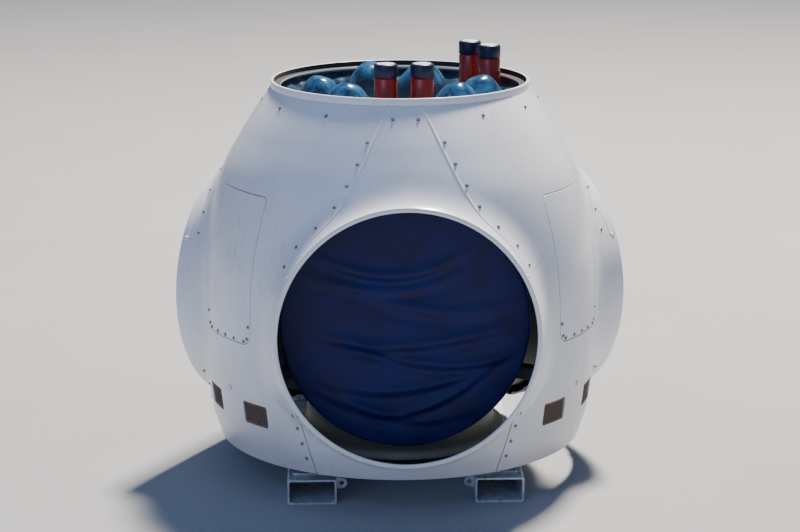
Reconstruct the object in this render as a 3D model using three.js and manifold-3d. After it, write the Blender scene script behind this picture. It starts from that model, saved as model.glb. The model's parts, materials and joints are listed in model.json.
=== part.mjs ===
// Rotor hub of a wind turbine in its shell, standing on two transport beams.
// Millimetres, +Z up. The origin is the middle of the ground that the hub covers, seen from above.
// The rotor axis stands upright near it, and blade opening 1 faces -Y.
import * as THREE from "three";
import { mergeVertices } from "three/addons/utils/BufferGeometryUtils.js";
import Module from "manifold-3d";

const wasm = await Module();
wasm.setup();

const DEG = Math.PI / 180;
const GAP = 0.4;
const SEAM = 0.4;

// The three openings make the hub lopsided, so its rotor axis isn't over the middle of its ground.
const ROTOR_AXIS_Y = -70;

// Shell: radius of the body over its height, and the three blade openings.
const SHELL_BASE = 320;
const SHELL_TOP = 3560;
const SHELL_THICK = 20;
const BODY_PROFILE = [
  [220, 1668],
  [320, 1692],
  [580, 1770],
  [1200, 1838],
  [1700, 1855],
  [2200, 1810],
  [2790, 1650],
  [3200, 1430],
  [3560, 1190],
  [3700, 1090],
];
const BLADE_HEIGHT = 1605;
const RIM_REACH = 1739;
const RIM_OUTER = 1167;
const RIM_INNER = 1129;
const FLARE_WIDTH = 136;
const FLARE_SWING = 110;
const FOLD_LOW = 0.34;
const FOLD_SPREAD = 0.3;
const FOLD_WIDTH = 95;
const FOLD_SLOPE = 0.3;

// Seams of the shell, seen along a blade axis, as lateral distance and height.
const UPPER_SEAM = [
  [140, 3560],
  [575, 2750],
  [905, 2400],
  [1050, 2155],
];
const LOWER_SEAM = [
  [965, 920],
  [760, 200],
];

// Hatch and vents of a side panel.
const HATCH_HALF = 395;
const HATCH_BOTTOM = 1425;
const HATCH_TOP = 2755;
const HATCH_ROUND = 120;
const HATCH_ROUND_TOP = 50;
const VENT_SIDE = 365;
const VENT_HEIGHT = 783;
const VENT_WIDE = 320;
const VENT_TALL = 205;

// Nose ring on the shell's top edge.
const RING_OUTER = 1188;
const RING_INNER = 1160;
const RING_LIP = 1095;
const RING_TOP = 3625;

// Hub casting and blade bearings.
const CORE_RADIUS = 1010;
const STUB_RADIUS = 1058;
const STUB_REACH = 1040;
const NECK_RADIUS = 880;
const NECK_BORE = 640;
const FLANGE_RADIUS = 1000;
const FLANGE_BASE = 260;
const FLANGE_TOP = 340;
const OUTER_RING = [962, 1058, STUB_REACH + GAP, 1135];
const INNER_RING = [835, 950, STUB_REACH + GAP, 1155];
const COVER_RADIUS = 1115;
const COVER_THICK = 12;

// Accumulators of the pitch system, in pairs over two of the blade stubs.
const BOTTLE_RADIUS = 103;
const BOTTLE_OUT = 880;
const BOTTLE_SIDE = 160;
const BOTTLE_BASE = 2720;
const BOTTLE_SHOULDER = 3770;
const BOTTLE_TOP = 3893;

// Film over the nose: its edge lies just under the nose ring, and it sags towards the middle.
const WRAP_HEIGHT = 3530;
const WRAP_SAG = 240;
const WRAP_THICK = 10;
const WRAP_RADIUS = 1200;
const DOME_PLACE = 720;
const DOME_TURN = 41;
const DOME_RISE = 285;
const DOME_WIDTH = 150;

// Transport beams.
const BEAM_SIDE = 840;
const BEAM_WIDE = 440;
const BEAM_TALL = 230;
const BEAM_LONG = 2800;
const BEAM_WALL = 18;
const LUG_PLACE = 1290;

const white = new THREE.MeshStandardMaterial({ color: 0xe3e6ea, roughness: 0.45, metalness: 0 });
const casting = new THREE.MeshStandardMaterial({ color: 0xb9bcbd, roughness: 0.6, metalness: 0 });
const steel = new THREE.MeshStandardMaterial({ color: 0x9a9c9c, roughness: 0.4, metalness: 1 });
const zinc = new THREE.MeshStandardMaterial({ color: 0xa4a8aa, roughness: 0.5, metalness: 1 });
const navy = new THREE.MeshStandardMaterial({ color: 0x0b1a4a, roughness: 0.8, metalness: 0 });
const film = new THREE.MeshStandardMaterial({ color: 0x27466b, roughness: 0.25, metalness: 0 });
const red = new THREE.MeshStandardMaterial({ color: 0xa31d17, roughness: 0.4, metalness: 0 });
const cap = new THREE.MeshStandardMaterial({ color: 0x141c3a, roughness: 0.4, metalness: 0 });
const mesh = new THREE.MeshStandardMaterial({ color: 0x6f675e, roughness: 0.6, metalness: 1 });

// A geometry with shared vertices, facing out.
function closed(geometry) {
  const bare = geometry.clone();
  bare.deleteAttribute("normal");
  bare.deleteAttribute("uv");
  const merged = mergeVertices(bare, 1e-3);
  const p = merged.attributes.position;
  const old = merged.index.array;
  const index = [];
  for (let i = 0; i < old.length; i += 3) {
    const [a, b, c] = [old[i], old[i + 1], old[i + 2]];
    if (a !== b && b !== c && c !== a) index.push(a, b, c);
  }
  const [a, b, c] = [new THREE.Vector3(), new THREE.Vector3(), new THREE.Vector3()];
  let volume = 0;
  for (let i = 0; i < index.length; i += 3) {
    a.fromBufferAttribute(p, index[i]);
    b.fromBufferAttribute(p, index[i + 1]);
    c.fromBufferAttribute(p, index[i + 2]);
    volume += a.dot(b.cross(c));
  }
  if (volume < 0) index.reverse();
  merged.setIndex(index);
  return merged;
}

function solidOf(geometry) {
  const g = closed(geometry);
  return new wasm.Manifold(
    new wasm.Mesh({
      numProp: 3,
      vertProperties: new Float32Array(g.attributes.position.array),
      triVerts: new Uint32Array(g.index.array),
    }),
  );
}

function geometryOf(solid) {
  const m = solid.getMesh();
  const g = new THREE.BufferGeometry();
  g.setAttribute("position", new THREE.BufferAttribute(new Float32Array(m.vertProperties), 3));
  g.setIndex(Array.from(m.triVerts));
  g.computeVertexNormals();
  return g;
}

function box(x0, x1, y0, y1, z0, z1) {
  const g = new THREE.BoxGeometry(x1 - x0, y1 - y0, z1 - z0);
  return g.translate((x0 + x1) / 2, (y0 + y1) / 2, (z0 + z1) / 2);
}

// A turned piece: its profile is a closed loop, or an open one from axis to axis.
function turned(profile, segments) {
  const points = profile.map(([r, h]) => new THREE.Vector2(r, h));
  if (profile[0][0] > 0) points.push(points[0].clone());
  return new THREE.LatheGeometry(points, segments);
}

function upright(profile, segments) {
  return closed(turned(profile, segments).rotateX(Math.PI / 2));
}

// A turned piece on a blade axis: heights in its profile run outwards from the rotor axis.
function turnedOnBlade(profile, segments, k) {
  return turned(profile, segments)
    .rotateX(Math.PI)
    .translate(0, 0, BLADE_HEIGHT)
    .rotateZ(k * 120 * DEG);
}

function ringProfile(inner, outer, low, high) {
  return [
    [inner, low],
    [outer, low],
    [outer, high],
    [inner, high],
  ];
}

// An outline in lateral distance and height, run outwards along the azimuth.
function prism(shape, near, far, azimuth) {
  return new THREE.ExtrudeGeometry(shape, { depth: far - near, bevelEnabled: false, curveSegments: 3 })
    .translate(0, 0, near)
    .rotateX(Math.PI / 2)
    .rotateZ(azimuth * DEG);
}

function outline(points) {
  return new THREE.Shape(points.map(([x, y]) => new THREE.Vector2(x, y)));
}

// Smooth curve through the body's profile.
function bodyRadius(z) {
  const p = BODY_PROFILE;
  let i = 1;
  while (i < p.length - 3 && z > p[i + 1][0]) i += 1;
  const slope = (n) => (p[n + 1][1] - p[n - 1][1]) / (p[n + 1][0] - p[n - 1][0]);
  const step = p[i + 1][0] - p[i][0];
  const t = (z - p[i][0]) / step;
  const s = t * t * (3 - 2 * t);
  return (
    (1 - s) * p[i][1] +
    s * p[i + 1][1] +
    t * (1 - t) * (1 - t) * step * slope(i) -
    t * t * (1 - t) * step * slope(i + 1)
  );
}

function bodyPoint(azimuth, z, inset) {
  const r = bodyRadius(z) - inset;
  return [r * Math.sin(azimuth), -r * Math.cos(azimuth), z];
}

// Low on both sides the flare is wider and meets the skirt in a fold: 1 there, 0 elsewhere.
function foldShare(psi) {
  const away = (Math.sin(psi) + FOLD_LOW) / FOLD_SPREAD;
  return Math.exp(-away * away);
}

function flareEdge(psi) {
  return RIM_OUTER + FLARE_WIDTH + FLARE_SWING * Math.sin(psi) + FOLD_WIDTH * foldShare(psi);
}

// The flare round an opening: t runs from the rim, 0, to the body, 1.
function flarePoint(psi, t, inset, rim) {
  const edge = flareEdge(psi);
  const out = (q) => {
    const u = q * Math.cos(psi);
    const r = bodyRadius(BLADE_HEIGHT + q * Math.sin(psi)) - inset;
    return Math.sqrt(r * r - u * u);
  };
  const w = out(edge);
  const slope = (out(edge + 1) - out(edge - 1)) / 2 - FOLD_SLOPE * foldShare(psi);
  const chord = Math.hypot(edge - rim, RIM_REACH - w);
  const lean = (40 + 20 * Math.sin(psi) + 35 * Math.abs(Math.cos(psi))) * DEG;
  const s = t * t * (3 - 2 * t);
  const a = t * (1 - t) * (1 - t) * chord;
  const b = (t * t * (1 - t) * chord) / Math.hypot(1, slope);
  const q = (1 - s) * rim + s * edge + a * Math.cos(lean) - b;
  const far = (1 - s) * RIM_REACH + s * w - a * Math.sin(lean) - b * slope;
  return [q * Math.cos(psi), -far, BLADE_HEIGHT + q * Math.sin(psi)];
}

// Shell in one piece: outer and inner skin as grids, joined at the rims and edges.
function wholeShell() {
  const rounds = 16;
  const columns = 8;
  const flareRows = 4;
  const topRows = 4;
  const lowRows = 1;
  const positions = [];

  function patch(rows, turn, flip) {
    const [c, s] = [Math.cos(turn), Math.sin(turn)];
    const put = ([x, y, z]) => positions.push(x * c - y * s, x * s + y * c, z);
    for (let i = 0; i + 1 < rows.length; i += 1) {
      for (let j = 0; j + 1 < rows[i].length; j += 1) {
        const q = [rows[i][j], rows[i][j + 1], rows[i + 1][j + 1], rows[i + 1][j]];
        const order = flip ? [0, 2, 1, 0, 3, 2] : [0, 1, 2, 0, 2, 3];
        order.forEach((n) => put(q[n]));
      }
    }
  }

  const steps = (n, f) => Array.from({ length: n + 1 }, (unused, i) => f(i / n));
  const around = (t) => (t * 360 - 90) * DEG;
  const topStart = BLADE_HEIGHT + flareEdge(90 * DEG);
  const lowEnd = BLADE_HEIGHT - flareEdge(-90 * DEG);
  const loop = (z, inset) => steps(2 * columns, (t) => bodyPoint((t * 120 - 60) * DEG, z, inset));

  for (let k = 0; k < 3; k += 1) {
    const turn = k * 120 * DEG;
    for (const [inset, rim, flip] of [
      [0, RIM_OUTER, false],
      [SHELL_THICK, RIM_INNER, true],
    ]) {
      const flare = steps(2 * rounds, (a) => steps(flareRows, (t) => flarePoint(around(a), t, inset, rim)));
      patch(flare, turn, flip);
      for (const side of [1, -1]) {
        const rows = steps(rounds, (a) => {
          const psi = (a * 180 - 90) * DEG;
          const z = BLADE_HEIGHT + flareEdge(psi) * Math.sin(psi);
          const start = Math.asin((flareEdge(psi) * Math.cos(psi)) / (bodyRadius(z) - inset));
          const row = steps(columns, (t) => bodyPoint(side * (start + (60 * DEG - start) * t), z, inset));
          return side > 0 ? row : row.reverse();
        });
        patch(rows, turn, flip);
      }
      patch(steps(topRows, (t) => loop(topStart + (SHELL_TOP - topStart) * t, inset)), turn, flip);
      patch(steps(lowRows, (t) => loop(SHELL_BASE + (lowEnd - SHELL_BASE) * t, inset)), turn, flip);
    }
    const rims = steps(2 * rounds, (a) => [
      flarePoint(around(a), 0, SHELL_THICK, RIM_INNER),
      flarePoint(around(a), 0, 0, RIM_OUTER),
    ]);
    patch(rims, turn, false);
    patch([loop(SHELL_TOP, 0), loop(SHELL_TOP, SHELL_THICK)], turn, false);
    patch([loop(SHELL_BASE, SHELL_THICK), loop(SHELL_BASE, 0)], turn, false);
  }
  const g = new THREE.BufferGeometry();
  g.setAttribute("position", new THREE.Float32BufferAttribute(positions, 3));
  return closed(g);
}

// Closed outlines of the arch over an opening and the one under it, wider by grow.
function upperArch(grow) {
  const right = UPPER_SEAM.map(([x, y]) => [x + grow, y]);
  const left = right.map(([x, y]) => [-x, y]).reverse();
  const top = SHELL_TOP + 200;
  return outline([...right, [0, BLADE_HEIGHT], ...left, [-UPPER_SEAM[0][0] - grow, top],
    [UPPER_SEAM[0][0] + grow, top]]);
}

function lowerArch(grow) {
  const right = LOWER_SEAM.map(([x, y]) => [x + grow, y]);
  const left = right.map(([x, y]) => [-x, y]).reverse();
  return outline([...right, ...left, [0, BLADE_HEIGHT]]);
}

function hatchOutline(grow) {
  const s = new THREE.Shape();
  const [w, lo, hi] = [HATCH_HALF + grow, HATCH_BOTTOM - grow, HATCH_TOP + grow];
  const [r, q] = [HATCH_ROUND, HATCH_ROUND_TOP];
  s.moveTo(-w + r, lo);
  s.lineTo(w - r, lo);
  s.absarc(w - r, lo + r, r, -Math.PI / 2, 0, false);
  s.lineTo(w, hi - q);
  s.absarc(w - q, hi - q, q, 0, Math.PI / 2, false);
  s.lineTo(-w + q, hi);
  s.absarc(-w + q, hi - q, q, Math.PI / 2, Math.PI, false);
  s.lineTo(-w, lo + r);
  s.absarc(-w + r, lo + r, r, Math.PI, 1.5 * Math.PI, false);
  return s;
}

// A third of the plan, from one blade axis to the next.
function sector(k) {
  const points = [0, 60, 120].map((a) => [
    5000 * Math.sin((a + 120 * k) * DEG),
    -5000 * Math.cos((a + 120 * k) * DEG),
  ]);
  const g = new THREE.ExtrudeGeometry(outline([[0, 0], ...points]), { depth: 5000, bevelEnabled: false });
  return g.translate(0, 0, -500);
}

// Every piece is made round the rotor axis, and the group sets that axis in place.
const hub = new THREE.Group();
hub.position.y = ROTOR_AXIS_Y;

function add(name, geometry, material) {
  const piece = new THREE.Mesh(geometry, material);
  piece.name = name;
  hub.add(piece);
}

const shellGeometry = wholeShell();
const shell = solidOf(shellGeometry);

// Arches over and under each opening.
let sides = shell;
for (let k = 0; k < 3; k += 1) {
  const near = 700;
  const far = 2300;
  const over = solidOf(prism(upperArch(-SEAM / 2), near, far, 120 * k));
  const under = solidOf(prism(lowerArch(-SEAM / 2), near, far, 120 * k));
  add(`upper_arch_${k + 1}`, geometryOf(shell.intersect(over)), white);
  add(`lower_arch_${k + 1}`, geometryOf(shell.intersect(under)), white);
  sides = sides
    .subtract(solidOf(prism(upperArch(SEAM / 2), near, far, 120 * k)))
    .subtract(solidOf(prism(lowerArch(SEAM / 2), near, far, 120 * k)));
}

// Side panels with their hatch, vents and grilles.
const ventTurn = Math.asin(VENT_SIDE / bodyRadius(VENT_HEIGHT)) / DEG;
const ventLean = Math.atan((bodyRadius(VENT_HEIGHT + 100) - bodyRadius(VENT_HEIGHT - 100)) / 200);
const grilleThick = 8;
const grilleSlots = 5;

function grille(azimuth) {
  const wide = VENT_WIDE - 2 * GAP;
  const tall = VENT_TALL - 2 * GAP;
  let plate = solidOf(new THREE.BoxGeometry(wide, grilleThick, tall));
  const pitch = tall / (grilleSlots + 0.4);
  for (let i = 0; i < grilleSlots; i += 1) {
    const z = (i - (grilleSlots - 1) / 2) * pitch;
    const slot = new THREE.BoxGeometry(wide - 40, grilleThick * 3, pitch * 0.6).translate(0, 0, z);
    plate = plate.subtract(solidOf(slot));
  }
  return geometryOf(plate)
    .rotateX(ventLean)
    .translate(0, -bodyRadius(VENT_HEIGHT) + 14, VENT_HEIGHT)
    .rotateZ(azimuth * DEG);
}

for (let k = 0; k < 3; k += 1) {
  const middle = 60 + 120 * k;
  let panel = sides.intersect(solidOf(sector(k)));
  const hatchRegion = solidOf(prism(hatchOutline(-SEAM / 2), 1200, 2300, middle));
  add(`hatch_cover_${k + 1}`, geometryOf(panel.intersect(hatchRegion)), white);
  panel = panel.subtract(solidOf(prism(hatchOutline(SEAM / 2), 1200, 2300, middle)));
  for (const side of [-1, 1]) {
    const azimuth = middle + side * ventTurn;
    const hole = box(-VENT_WIDE / 2, VENT_WIDE / 2, -2100, -1500,
      VENT_HEIGHT - VENT_TALL / 2, VENT_HEIGHT + VENT_TALL / 2);
    panel = panel.subtract(solidOf(hole.rotateZ(azimuth * DEG)));
    add(`vent_grille_${k + 1}${side < 0 ? "a" : "b"}`, grille(azimuth), mesh);
  }
  add(`side_panel_${k + 1}`, geometryOf(panel), white);
}

// Nose ring, an angle section lying on the shell's top edge.
add("nose_ring", upright([
  [RING_LIP, SHELL_TOP + GAP],
  [RING_OUTER, SHELL_TOP + GAP],
  [RING_OUTER, RING_TOP],
  [RING_INNER, RING_TOP],
  [RING_INNER, SHELL_TOP + 18],
  [RING_LIP, SHELL_TOP + 18],
], 60), white);

// Hub casting: round core, a stub for each blade, a neck with the shaft flange, and seats.
let core = solidOf(new THREE.SphereGeometry(CORE_RADIUS, 32, 16).rotateX(Math.PI / 2)
  .translate(0, 0, BLADE_HEIGHT));
for (let k = 0; k < 3; k += 1) {
  core = core.add(solidOf(turnedOnBlade([
    [0, 0],
    [STUB_RADIUS, 0],
    [STUB_RADIUS, STUB_REACH],
    [0, STUB_REACH],
  ], 48, k)));
}
core = core.add(solidOf(upright([
  [0, FLANGE_BASE],
  [FLANGE_RADIUS, FLANGE_BASE],
  [FLANGE_RADIUS, FLANGE_TOP],
  [NECK_RADIUS, FLANGE_TOP + 60],
  [NECK_RADIUS, 1200],
  [0, 1200],
], 48)));
core = core.subtract(solidOf(upright([
  [0, 100],
  [NECK_BORE, 100],
  [NECK_BORE, 1000],
  [0, 1000],
], 32)));
const bottlePairs = [0, 1];
for (const k of bottlePairs) {
  const reach = BOTTLE_SIDE + BOTTLE_RADIUS + 20;
  const seat = box(-reach, reach, -BOTTLE_OUT - 112, -BOTTLE_OUT + 112, 2450, BOTTLE_BASE);
  core = core.add(solidOf(seat.rotateZ(k * 120 * DEG)));
}
const coreGeometry = geometryOf(core);
add("hub_casting", coreGeometry, casting);

// Blade bearings with their cloth covers.
for (let k = 0; k < 3; k += 1) {
  add(`bearing_outer_ring_${k + 1}`, closed(turnedOnBlade(ringProfile(...OUTER_RING), 36, k)), steel);
  add(`bearing_inner_ring_${k + 1}`, closed(turnedOnBlade(ringProfile(...INNER_RING), 36, k)), steel);
  const face = INNER_RING[3] + GAP;
  add(`blade_cover_${k + 1}`, closed(turnedOnBlade([
    [0, face],
    [COVER_RADIUS, face],
    [COVER_RADIUS, face + COVER_THICK],
    [0, face + COVER_THICK],
  ], 36, k)), navy);
}

// Brackets that carry the shell's side panels on the casting.
for (let k = 0; k < 3; k += 1) {
  const middle = 60 + 120 * k;
  const [c, s] = [Math.sin(middle * DEG), -Math.cos(middle * DEG)];
  const foot = bodyRadius(1000) - 12;
  let arm = solidOf(box(-80, -62, -1790, -800, 945, 1055));
  arm = arm.add(solidOf(box(62, 80, -1790, -800, 945, 1055)));
  arm = arm.add(solidOf(box(-80, 80, -1790, -800, 945, 963)));
  arm = arm.add(solidOf(box(-120, 120, -foot, -foot + 40, 950, 1050)));
  arm = arm.add(solidOf(box(-80, 80, -1060, -800, 945, 1055)));
  const placed = solidOf(geometryOf(arm).rotateZ(middle * DEG));
  const fitted = placed
    .subtract(solidOf(coreGeometry))
    .subtract(solidOf(coreGeometry.clone().translate(GAP * c, GAP * s, 0)))
    .subtract(solidOf(shellGeometry))
    .subtract(solidOf(shellGeometry.clone().translate(-GAP * c, -GAP * s, 0)));
  add(`shell_bracket_${k + 1}`, geometryOf(fitted), casting);
}

// Accumulators and their caps.
const bottles = [];
for (const k of bottlePairs) {
  for (const side of [-1, 1]) {
    const place = new THREE.Vector3(side * BOTTLE_SIDE, -BOTTLE_OUT, 0);
    bottles.push(place.applyAxisAngle(new THREE.Vector3(0, 0, 1), k * 120 * DEG));
  }
}
bottles.forEach((place, i) => {
  const body = upright([
    [0, BOTTLE_BASE + GAP],
    [BOTTLE_RADIUS - 25, BOTTLE_BASE + GAP],
    [BOTTLE_RADIUS, BOTTLE_BASE + 40],
    [BOTTLE_RADIUS, BOTTLE_SHOULDER],
    [0, BOTTLE_SHOULDER],
  ], 20);
  add(`accumulator_${i + 1}`, closed(body.translate(place.x, place.y, 0)), red);
  const lid = upright([
    [0, BOTTLE_SHOULDER + GAP],
    [BOTTLE_RADIUS + 3, BOTTLE_SHOULDER + GAP],
    [BOTTLE_RADIUS + 3, BOTTLE_TOP - 22],
    [BOTTLE_RADIUS - 12, BOTTLE_TOP - 4],
    [0, BOTTLE_TOP],
  ], 20);
  add(`accumulator_cap_${i + 1}`, closed(lid.translate(place.x, place.y, 0)), cap);
});

// Film over the nose, raised by what lies under it, with a hole for each accumulator.
function wrapHeight(x, y) {
  let h = WRAP_HEIGHT - WRAP_SAG * (1 - (x * x + y * y) / (WRAP_RADIUS * WRAP_RADIUS));
  for (let i = 0; i < 6; i += 1) {
    const a = (120 * Math.floor(i / 2) + (i % 2 ? DOME_TURN : -DOME_TURN)) * DEG;
    const d = Math.hypot(x - DOME_PLACE * Math.sin(a), y + DOME_PLACE * Math.cos(a));
    h += DOME_RISE * Math.exp(-(d * d) / (2 * DOME_WIDTH * DOME_WIDTH));
  }
  return h;
}

function wrapGeometry() {
  const rings = [0, 300, 460, 590, 720, 850, 980, 1100, WRAP_RADIUS];
  const around = 36;
  const at = (i, j, drop) => {
    const a = (j * 2 * Math.PI) / around;
    const [x, y] = [rings[i] * Math.sin(a), -rings[i] * Math.cos(a)];
    const h = i === rings.length - 1 ? WRAP_HEIGHT : wrapHeight(x, y);
    return [x, y, h - drop];
  };
  const positions = [];
  const tri = (...points) => points.forEach((p) => positions.push(...p));
  for (let j = 0; j < around; j += 1) {
    for (let i = 0; i + 1 < rings.length; i += 1) {
      const top = [at(i, j, 0), at(i + 1, j, 0), at(i + 1, j + 1, 0), at(i, j + 1, 0)];
      const low = [at(i, j, WRAP_THICK), at(i + 1, j, WRAP_THICK), at(i + 1, j + 1, WRAP_THICK),
        at(i, j + 1, WRAP_THICK)];
      tri(top[0], top[1], top[2]);
      tri(low[0], low[2], low[1]);
      if (i > 0) {
        tri(top[0], top[2], top[3]);
        tri(low[0], low[3], low[2]);
      }
    }
    const n = rings.length - 1;
    tri(at(n, j, 0), at(n, j, WRAP_THICK), at(n, j + 1, WRAP_THICK));
    tri(at(n, j, 0), at(n, j + 1, WRAP_THICK), at(n, j + 1, 0));
  }
  const g = new THREE.BufferGeometry();
  g.setAttribute("position", new THREE.Float32BufferAttribute(positions, 3));
  return g;
}

let wrap = solidOf(wrapGeometry());
const squeeze = 1 - GAP / WRAP_RADIUS;
wrap = wrap
  .subtract(solidOf(shellGeometry))
  .subtract(solidOf(shellGeometry.clone().scale(squeeze, squeeze, 1)));
for (const place of bottles) {
  const hole = new THREE.CylinderGeometry(BOTTLE_RADIUS + 0.6, BOTTLE_RADIUS + 0.6, 900, 20);
  wrap = wrap.subtract(solidOf(hole.rotateX(Math.PI / 2).translate(place.x, place.y, WRAP_HEIGHT)));
}
add("nose_wrap", geometryOf(wrap), film);

// Transport beams with lifting lugs, and the plates that the shaft flange stands on.
function beam(side) {
  const s = outline([
    [-BEAM_WIDE / 2, 0],
    [BEAM_WIDE / 2, 0],
    [BEAM_WIDE / 2, BEAM_TALL],
    [-BEAM_WIDE / 2, BEAM_TALL],
  ]);
  const hollow = new THREE.Path([
    [-BEAM_WIDE / 2 + BEAM_WALL, BEAM_WALL],
    [-BEAM_WIDE / 2 + BEAM_WALL, BEAM_TALL - BEAM_WALL],
    [BEAM_WIDE / 2 - BEAM_WALL, BEAM_TALL - BEAM_WALL],
    [BEAM_WIDE / 2 - BEAM_WALL, BEAM_WALL],
  ].map(([x, y]) => new THREE.Vector2(x, y)));
  s.holes.push(hollow);
  const tube = new THREE.ExtrudeGeometry(s, { depth: BEAM_LONG, bevelEnabled: false })
    .rotateX(Math.PI / 2)
    .translate(side * BEAM_SIDE, BEAM_LONG / 2, 0);
  let solid = solidOf(tube);
  for (const end of [-1, 1]) {
    const near = side * (BEAM_SIDE - BEAM_WIDE / 2 + 4);
    const far = side * (BEAM_SIDE - BEAM_WIDE / 2 - 48);
    const plate = box(Math.min(near, far), Math.max(near, far), end * LUG_PLACE - 10,
      end * LUG_PLACE + 10, 120, 212);
    const round = new THREE.CylinderGeometry(46, 46, 20, 16).translate(far, end * LUG_PLACE, 166);
    const eye = new THREE.CylinderGeometry(20, 20, 60, 12).translate(far, end * LUG_PLACE, 166);
    solid = solid.add(solidOf(plate)).add(solidOf(round)).subtract(solidOf(eye));
  }
  return geometryOf(solid);
}

for (const [name, side] of [["left", -1], ["right", 1]]) {
  add(`skid_beam_${name}`, beam(side), zinc);
  const saddle = box(side * BEAM_SIDE - 210, side * BEAM_SIDE + 210, -450, 450,
    BEAM_TALL + GAP / 2, FLANGE_BASE - GAP / 2);
  add(`saddle_plate_${name}`, closed(saddle), zinc);
}

export default hub;
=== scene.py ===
import json

import bmesh
import bpy
import numpy as np
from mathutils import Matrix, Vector


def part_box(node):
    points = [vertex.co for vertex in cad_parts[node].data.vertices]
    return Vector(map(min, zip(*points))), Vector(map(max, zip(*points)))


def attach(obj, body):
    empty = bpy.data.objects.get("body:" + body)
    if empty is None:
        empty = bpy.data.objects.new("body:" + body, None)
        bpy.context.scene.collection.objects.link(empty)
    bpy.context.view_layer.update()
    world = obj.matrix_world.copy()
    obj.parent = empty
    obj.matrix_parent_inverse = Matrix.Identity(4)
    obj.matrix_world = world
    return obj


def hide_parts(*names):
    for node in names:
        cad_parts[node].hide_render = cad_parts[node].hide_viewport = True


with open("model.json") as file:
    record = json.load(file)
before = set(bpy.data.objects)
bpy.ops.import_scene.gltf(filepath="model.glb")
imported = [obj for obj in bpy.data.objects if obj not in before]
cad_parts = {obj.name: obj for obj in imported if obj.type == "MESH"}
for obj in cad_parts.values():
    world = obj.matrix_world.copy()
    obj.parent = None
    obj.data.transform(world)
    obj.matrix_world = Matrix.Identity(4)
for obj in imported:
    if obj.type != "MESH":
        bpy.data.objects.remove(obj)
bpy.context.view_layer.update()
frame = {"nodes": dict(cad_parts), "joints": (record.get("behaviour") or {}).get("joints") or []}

# %% [markdown]
# # A rotor hub in its shell
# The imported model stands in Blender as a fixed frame, and every piece made here is laid over it.
# Sizes that the frame holds are read from it, so the two can't drift apart: the height of the blade
# axes comes from the joints, and the rotor axis is the middle of the nose ring.


def span(node):
    """Lowest and highest corner of a node as arrays."""
    return [np.array(corner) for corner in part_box(node)]


ring_low, ring_high = span("nose_ring")
AXIS = (ring_low + ring_high) / 2 * (1, 1, 0)
BLADE_HEIGHT = frame["joints"][0]["pos_m"][2]
print("rotor axis at", AXIS.round(4), "and blade axes at height", BLADE_HEIGHT)

# %% [markdown]
# ## Driving sizes of the shell
# A spinner is laid up from glass fibre in moulds. Its body is a surface of revolution, and a flare grows
# out of it round each blade opening. These numbers drive both shapes: all are in metres, but for the flare's
# lean and the thirds of a turn, which are in degrees. A seam is given by points of lateral distance and
# height, seen along a blade axis.

# %% Driving sizes
SHELL_BASE = 0.320
SHELL_TOP = 3.560
SHELL_THICK = 0.020
BODY_HEIGHTS = np.array([0.220, 0.320, 0.580, 1.200, 1.700, 2.200, 2.790, 3.200, 3.560, 3.700])
BODY_RADII = np.array([1.668, 1.692, 1.770, 1.838, 1.855, 1.810, 1.650, 1.430, 1.190, 1.090])
RIM_REACH = 1.739
RIM_OUTER = 1.167
RIM_INNER = 1.129
FLARE_WIDTH = 0.136
FLARE_SWING = 0.110
LEAN, LEAN_UP, LEAN_SIDE = 40, 20, 35
FOLD_LOW = 0.34
FOLD_SPREAD = 0.3
FOLD_WIDTH = 0.095
FOLD_SLOPE = 0.3
UPPER_SEAM = np.array([[1.050, 2.155], [0.905, 2.400], [0.575, 2.750], [0.140, 3.560]])
LOWER_SEAM = np.array([[0.760, 0.200], [0.965, 0.920]])
SEAM_GAP = 0.005
SEAM_END = 0.003
CELL = 0.022
THIRD = 120
PANEL_TURN = THIRD / 2
print("shell from", SHELL_BASE, "to", SHELL_TOP, "m high, in cells of", CELL, "m")

# %% [markdown]
# ## From arrays to closed skins
# Each piece is worked out as arrays of points. A loft joins loops of points into a closed skin, and
# a skin that came out inside out is found by its negative volume and turned round.

# %% Skins


def grid_quads(rows, columns, around=False):
    """Corner numbers of a grid's cells, its points numbered row by row. around joins the last column to the first."""
    i, j = np.meshgrid(np.arange(rows - 1), np.arange(columns - (not around)), indexing="ij")
    k = (j + 1) % columns
    return np.stack([i * columns + j, i * columns + k, (i + 1) * columns + k, (i + 1) * columns + j], -1).reshape(-1, 4)


def outward(points, faces):
    """A closed skin with its faces turned out. Its signed volume is a sixth of the sum of a . (b x c) over a fan
    of triangles from each face's first corner a, and is negative when the faces point in."""
    volume = sum(np.einsum("ijk,ijk->", points[f[:, :1]], np.cross(points[f[:, 1:-1]], points[f[:, 2:]]))
                 for f in faces)
    return points, [f[:, ::-1] if volume < 0 else f for f in faces]


def loft(loops, ring=False):
    """Closed loops of points, shape (loops, points, 3), joined one to the next. A ring joins the last to
    the first. Otherwise both ends get a flat face."""
    count, size = loops.shape[:2]
    first = np.arange(size)
    last = (count - 1) * size + first
    faces = [grid_quads(count, size, around=True)]
    if ring:
        faces = [np.concatenate(faces + [np.stack([last, np.roll(last, -1), np.roll(first, -1), first], -1)])]
    else:
        faces.append(np.stack([first[::-1], last]))
    return outward(loops.reshape(-1, 3), faces)


def merged(skins):
    """Several (points, faces) pairs as one pair."""
    starts = np.cumsum([0] + [len(p) for p, f in skins[:-1]])
    return np.concatenate([p for p, f in skins]), [f + start for (p, fs), start in zip(skins, starts) for f in fs]


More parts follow.
